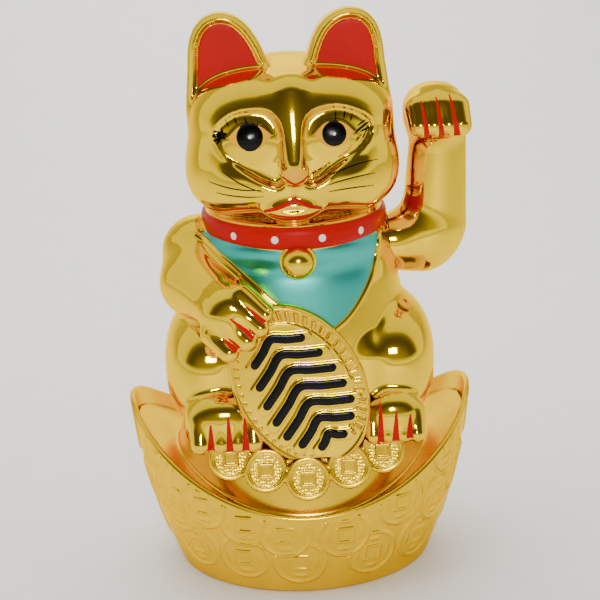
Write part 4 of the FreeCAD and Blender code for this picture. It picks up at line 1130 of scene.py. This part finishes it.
DECK_DROP = 3.0
DECK_THICK = 2.4
COINS = [(0.0, -54.5, 56.0), (-17.8, -53.0, 60.0), (17.8, -53.0, 60.0), (-32.7, -48.5, 64.5),
         (32.7, -48.5, 64.5)]
COIN_RADIUS = 9.5
COIN_LEAN = math.radians(15)
COIN_UP = vec(0, math.sin(COIN_LEAN), math.cos(COIN_LEAN))
COIN_OUT = vec(0, -math.cos(COIN_LEAN), math.sin(COIN_LEAN))
MOUND_FOOT, SEAT_TOP, HOLLOW_TOP = 34, 63.9, 61.7    # heights of the mound and of the room inside it
MOUND_WALL = 2.2
POSTS = [(x, y) for x in (-38, 38) for y in (-28, 28)]
POST_FOOT, POST_TOP, PILOT_TOP = 3.5, 61.9, 15.5     # heights of the screw posts and of their holes
POST_RADIUS, PILOT_RADIUS = 3.6, 1.5


def coin_place(p, middle):
    """Coordinates in a leaning coin's own frame: across, up its face and out of it."""
    away = p - vec(*middle)
    return away[..., 0], away @ COIN_UP, away @ COIN_OUT


def deck_solid(p):
    """Dish of the ingot with the mound, its leaning coins and the screw posts, moulded in one."""
    x, y, z = p.T
    long, deep = (size - INGOT["wall"] - 0.3 for size in ingot_size(z))
    size = np.hypot(x / long, y / deep)
    rim = (size - 1) * np.minimum(long, deep)
    saddle = np.hypot(x, z - INGOT["saddle_z"])
    top = INGOT["saddle"] + DECK_DROP - saddle
    plate = np.maximum(np.maximum(top, saddle - INGOT["saddle"] - DECK_DROP - DECK_THICK), rim)
    rise = (np.clip(z, 30, 66) - MOUND_FOOT) / 30
    mound_long, mound_deep = 63 - 8 * rise, 56 - 6 * rise
    mound_size = np.hypot(x / mound_long, y / mound_deep)
    steep = np.hypot(x / mound_long ** 2, y / mound_deep ** 2) / np.maximum(mound_size, 1e-6)
    side = (mound_size - 1) / np.maximum(steep, 1e-6)
    mound = -melt(-side, -(z - SEAT_TOP), 3.0)
    hollow = np.maximum(side + MOUND_WALL, z - HOLLOW_TOP)
    total = melt(plate, np.maximum(mound, MOUND_FOOT - z), 2.2)
    for middle in COINS:
        s, t, w = coin_place(p, middle)
        disc = np.maximum(np.hypot(s, t) - COIN_RADIUS + 0.6, np.abs(w) - 2.4)
        edge = np.hypot(np.hypot(s, t) - COIN_RADIUS + 1.1, w - 1.7) - 1.15
        total = melt(total, melt(disc, edge, 0.8), 0.8)
    total = np.maximum(total, -np.maximum(hollow, -top - 40))
    for px, py in POSTS:
        off = np.hypot(x - px, y - py)
        post = np.maximum(off - POST_RADIUS, np.maximum(POST_FOOT - z, z - POST_TOP))
        pilot = np.maximum(off - PILOT_RADIUS, z - PILOT_TOP)
        total = np.maximum(np.minimum(total, post), -pilot)
    return total


def ingot_deck():
    axes = (stops((-79, 79, 0.95)), stops((-72, -40, 0.75), (-40, 72, 1.2)),
            stops((2, 34, 1.4), (34, 84, 0.85)))
    deck = make_object("ingot_deck_moulding", *net(deck_solid, *axes))
    true_normals(deck, deck_solid, 0.05)
    finish_piece(deck, "gold_deck", "base", ["ingot_deck"])
    faces = []
    for middle in COINS:
        rings, spokes = 34, 150
        radius = COIN_RADIUS - 1.9
        reach = np.linspace(0, radius, rings + 1)[:, None]
        angle = full_turn(spokes)[None]
        s, t = reach * np.cos(angle), reach * np.sin(angle)
        square = np.maximum(np.abs(s), np.abs(t))
        speckle = np.sin(s * 7.1 + 3 * np.sin(t * 2.3)) * np.sin(t * 6.7 + 2.6 * np.sin(s * 2.9 + 1))
        field = np.clip((square - 3.4) / 0.4, 0, 1) * np.clip((radius - 0.5 - reach) / 0.4, 0, 1)
        relief = 0.14 * speckle * field + 0.55 * np.exp(-((square - 2.75) / 0.5) ** 4)
        relief += 0.3 * np.exp(-((reach - radius + 0.3) / 0.35) ** 2)
        base = vec(*middle) + s[..., None] * vec(1, 0, 0) + t[..., None] * COIN_UP
        top = base + (2.5 + relief)[..., None] * COIN_OUT
        faces.append(slab("face", top, base + 2.1 * COIN_OUT, wrap=True))
    finish_piece(joined("mound_coin_faces", faces), "gold_deck", "base")


# ---- inner works keep their CAD shape


def dress_frame():
    """Gives every CAD node that stays visible the material of its own slot."""
    slots = {entry["slot"] for entry in frame["record"]["materials"]}
    for node in frame["nodes"].values():
        used = [slot.name.split(".")[0] for slot in node.data.materials if slot]
        for place, material_name in enumerate(used):
            if material_name in slots and material_name in MATERIALS:
                node.data.materials[place] = MATERIALS[material_name]


# ---- floor, light and camera


def plain_material(name, colour, rough):
    return shader(name, colour, 0.0, rough, vary=0.03, grain=0.01, grain_size=3)


# Tone of the room by how far a direction points to the back: dim behind the camera, dark round that,
# white elsewhere.
ROOM = [(-1.0, (0.34, 0.32, 0.27)), (-0.84, (0.22, 0.20, 0.16)), (-0.62, (0.07, 0.062, 0.042)),
        (-0.26, (0.055, 0.05, 0.034)), (-0.13, (0.9, 0.89, 0.86)), (1.0, (1.0, 0.985, 0.96))]


def studio():
    """Pale floor that sweeps up behind the object, with soft lights."""
    sweep_y, sweep_radius, width = 0.35, 0.7, 2.5
    turns = np.linspace(-math.pi / 2, 0, 40)
    bend = np.stack([sweep_y + sweep_radius * np.cos(turns), sweep_radius * (1 + np.sin(turns))], 1)
    line = np.concatenate([[(-2.2, 0.0), (-1.0, 0.0), (0.0, 0.0)], bend, [(sweep_y + sweep_radius, 2.2)]])
    points = [(x, y, z) for y, z in line for x in (-width, width)]
    faces = [(2 * i, 2 * i + 1, 2 * i + 3, 2 * i + 2) for i in range(len(line) - 1)]
    sweep = make_object("floor", np.array(points) / MM, np.array(faces))
    sweep.data.materials.append(plain_material("floor_paper", (0.86, 0.855, 0.845), 0.6))

    world = bpy.data.worlds.new("studio_air")
    world.use_nodes = True
    nodes, links = world.node_tree.nodes, world.node_tree.links
    place = nodes.new("ShaderNodeTexCoord")
    split = nodes.new("ShaderNodeSeparateXYZ")
    links.new(place.outputs["Generated"], split.inputs["Vector"])
    lean = nodes.new("ShaderNodeVectorMath")
    lean.operation = "DOT_PRODUCT"
    lean.inputs[1].default_value = (0, 1, 0.3)
    links.new(place.outputs["Generated"], lean.inputs[0])
    zones = nodes.new("ShaderNodeValToRGB")
    zones.color_ramp.interpolation = "B_SPLINE"
    stops_found = zones.color_ramp.elements
    while len(stops_found) < len(ROOM):
        stops_found.new(1.0)
    for stop, (direction, tone) in zip(stops_found, ROOM):
        stop.position = (direction + 1) / 2
        stop.color = (*tone, 1)
    half = nodes.new("ShaderNodeMapRange")
    half.inputs["From Min"].default_value = -1
    links.new(lean.outputs["Value"], half.inputs["Value"])
    links.new(half.outputs["Result"], zones.inputs["Fac"])
    above = nodes.new("ShaderNodeMapRange")
    above.interpolation_type = "SMOOTHSTEP"
    preset(above, {"From Min": -0.02, "From Max": 0.16})
    links.new(split.outputs["Z"], above.inputs["Value"])
    mix = nodes.new("ShaderNodeMix")
    mix.data_type = "RGBA"
    mix.inputs["A"].default_value = (*ROOM[-1][1], 1)
    links.new(zones.outputs["Color"], mix.inputs["B"])
    links.new(above.outputs["Result"], mix.inputs["Factor"])
    air = nodes["Background"]
    air.inputs["Strength"].default_value = 1.25
    links.new(mix.outputs["Result"], air.inputs["Color"])
    bpy.context.scene.world = world

    for name, place, aim, size, power in (
            ("soft_top", (-0.35, -0.1, 1.5), (0, 0, 0.1), 0.9, 9),
            ("flash", (0.02, -0.95, 0.50), (0, 0, 0.14), 0.18, 5),
            ("back_wash", (0.0, 0.5, 0.9), (0, 0.95, 0.25), 0.8, 9)):
        lamp = bpy.data.lights.new(name, "AREA")
        lamp.energy = power
        lamp.size = size
        lamp.color = (1.0, 0.98, 0.95)
        holder = placed(name, lamp)
        holder.location = place
        holder.visible_glossy = name == "flash"
        holder.visible_camera = False
        holder.rotation_euler = (Vector(aim) - Vector(place)).to_track_quat("-Z", "Y").to_euler()


def camera():
    """Camera a little above the cat and slightly towards its right side."""
    azimuth, elevation, roll = math.radians(-2.2), math.radians(16.0), math.radians(-2.1)
    target = Vector((0, 0, 0.1198))
    back = Vector((math.sin(azimuth) * math.cos(elevation), -math.cos(azimuth) * math.cos(elevation),
                   math.sin(elevation)))
    right = Vector((0, 0, 1)).cross(back).normalized()
    up = back.cross(right)
    side = right * math.cos(roll) + up * math.sin(roll)
    top = up * math.cos(roll) - right * math.sin(roll)
    turn = Matrix((side, top, back)).transposed()
    lens = bpy.data.cameras.new("studio_camera")
    lens.sensor_width = 36
    lens.lens = 78.2
    lens.shift_x = 0.0057
    lens.clip_start = 0.01
    distance = 0.5927
    holder = placed("studio_camera", lens)
    holder.matrix_world = Matrix.Translation(target + back * distance) @ turn.to_4x4()
    bpy.context.scene.camera = holder


# ---- making

camera()
studio()
dress_frame()
cat_body()
raised_arm()
painted_ears()
painted_eyes()
painted_lines()
painted_nose_and_mouth()
painted_claws()
red_collar()
bib()
bell()
plaque()
ingot_wall()
ingot_deck()
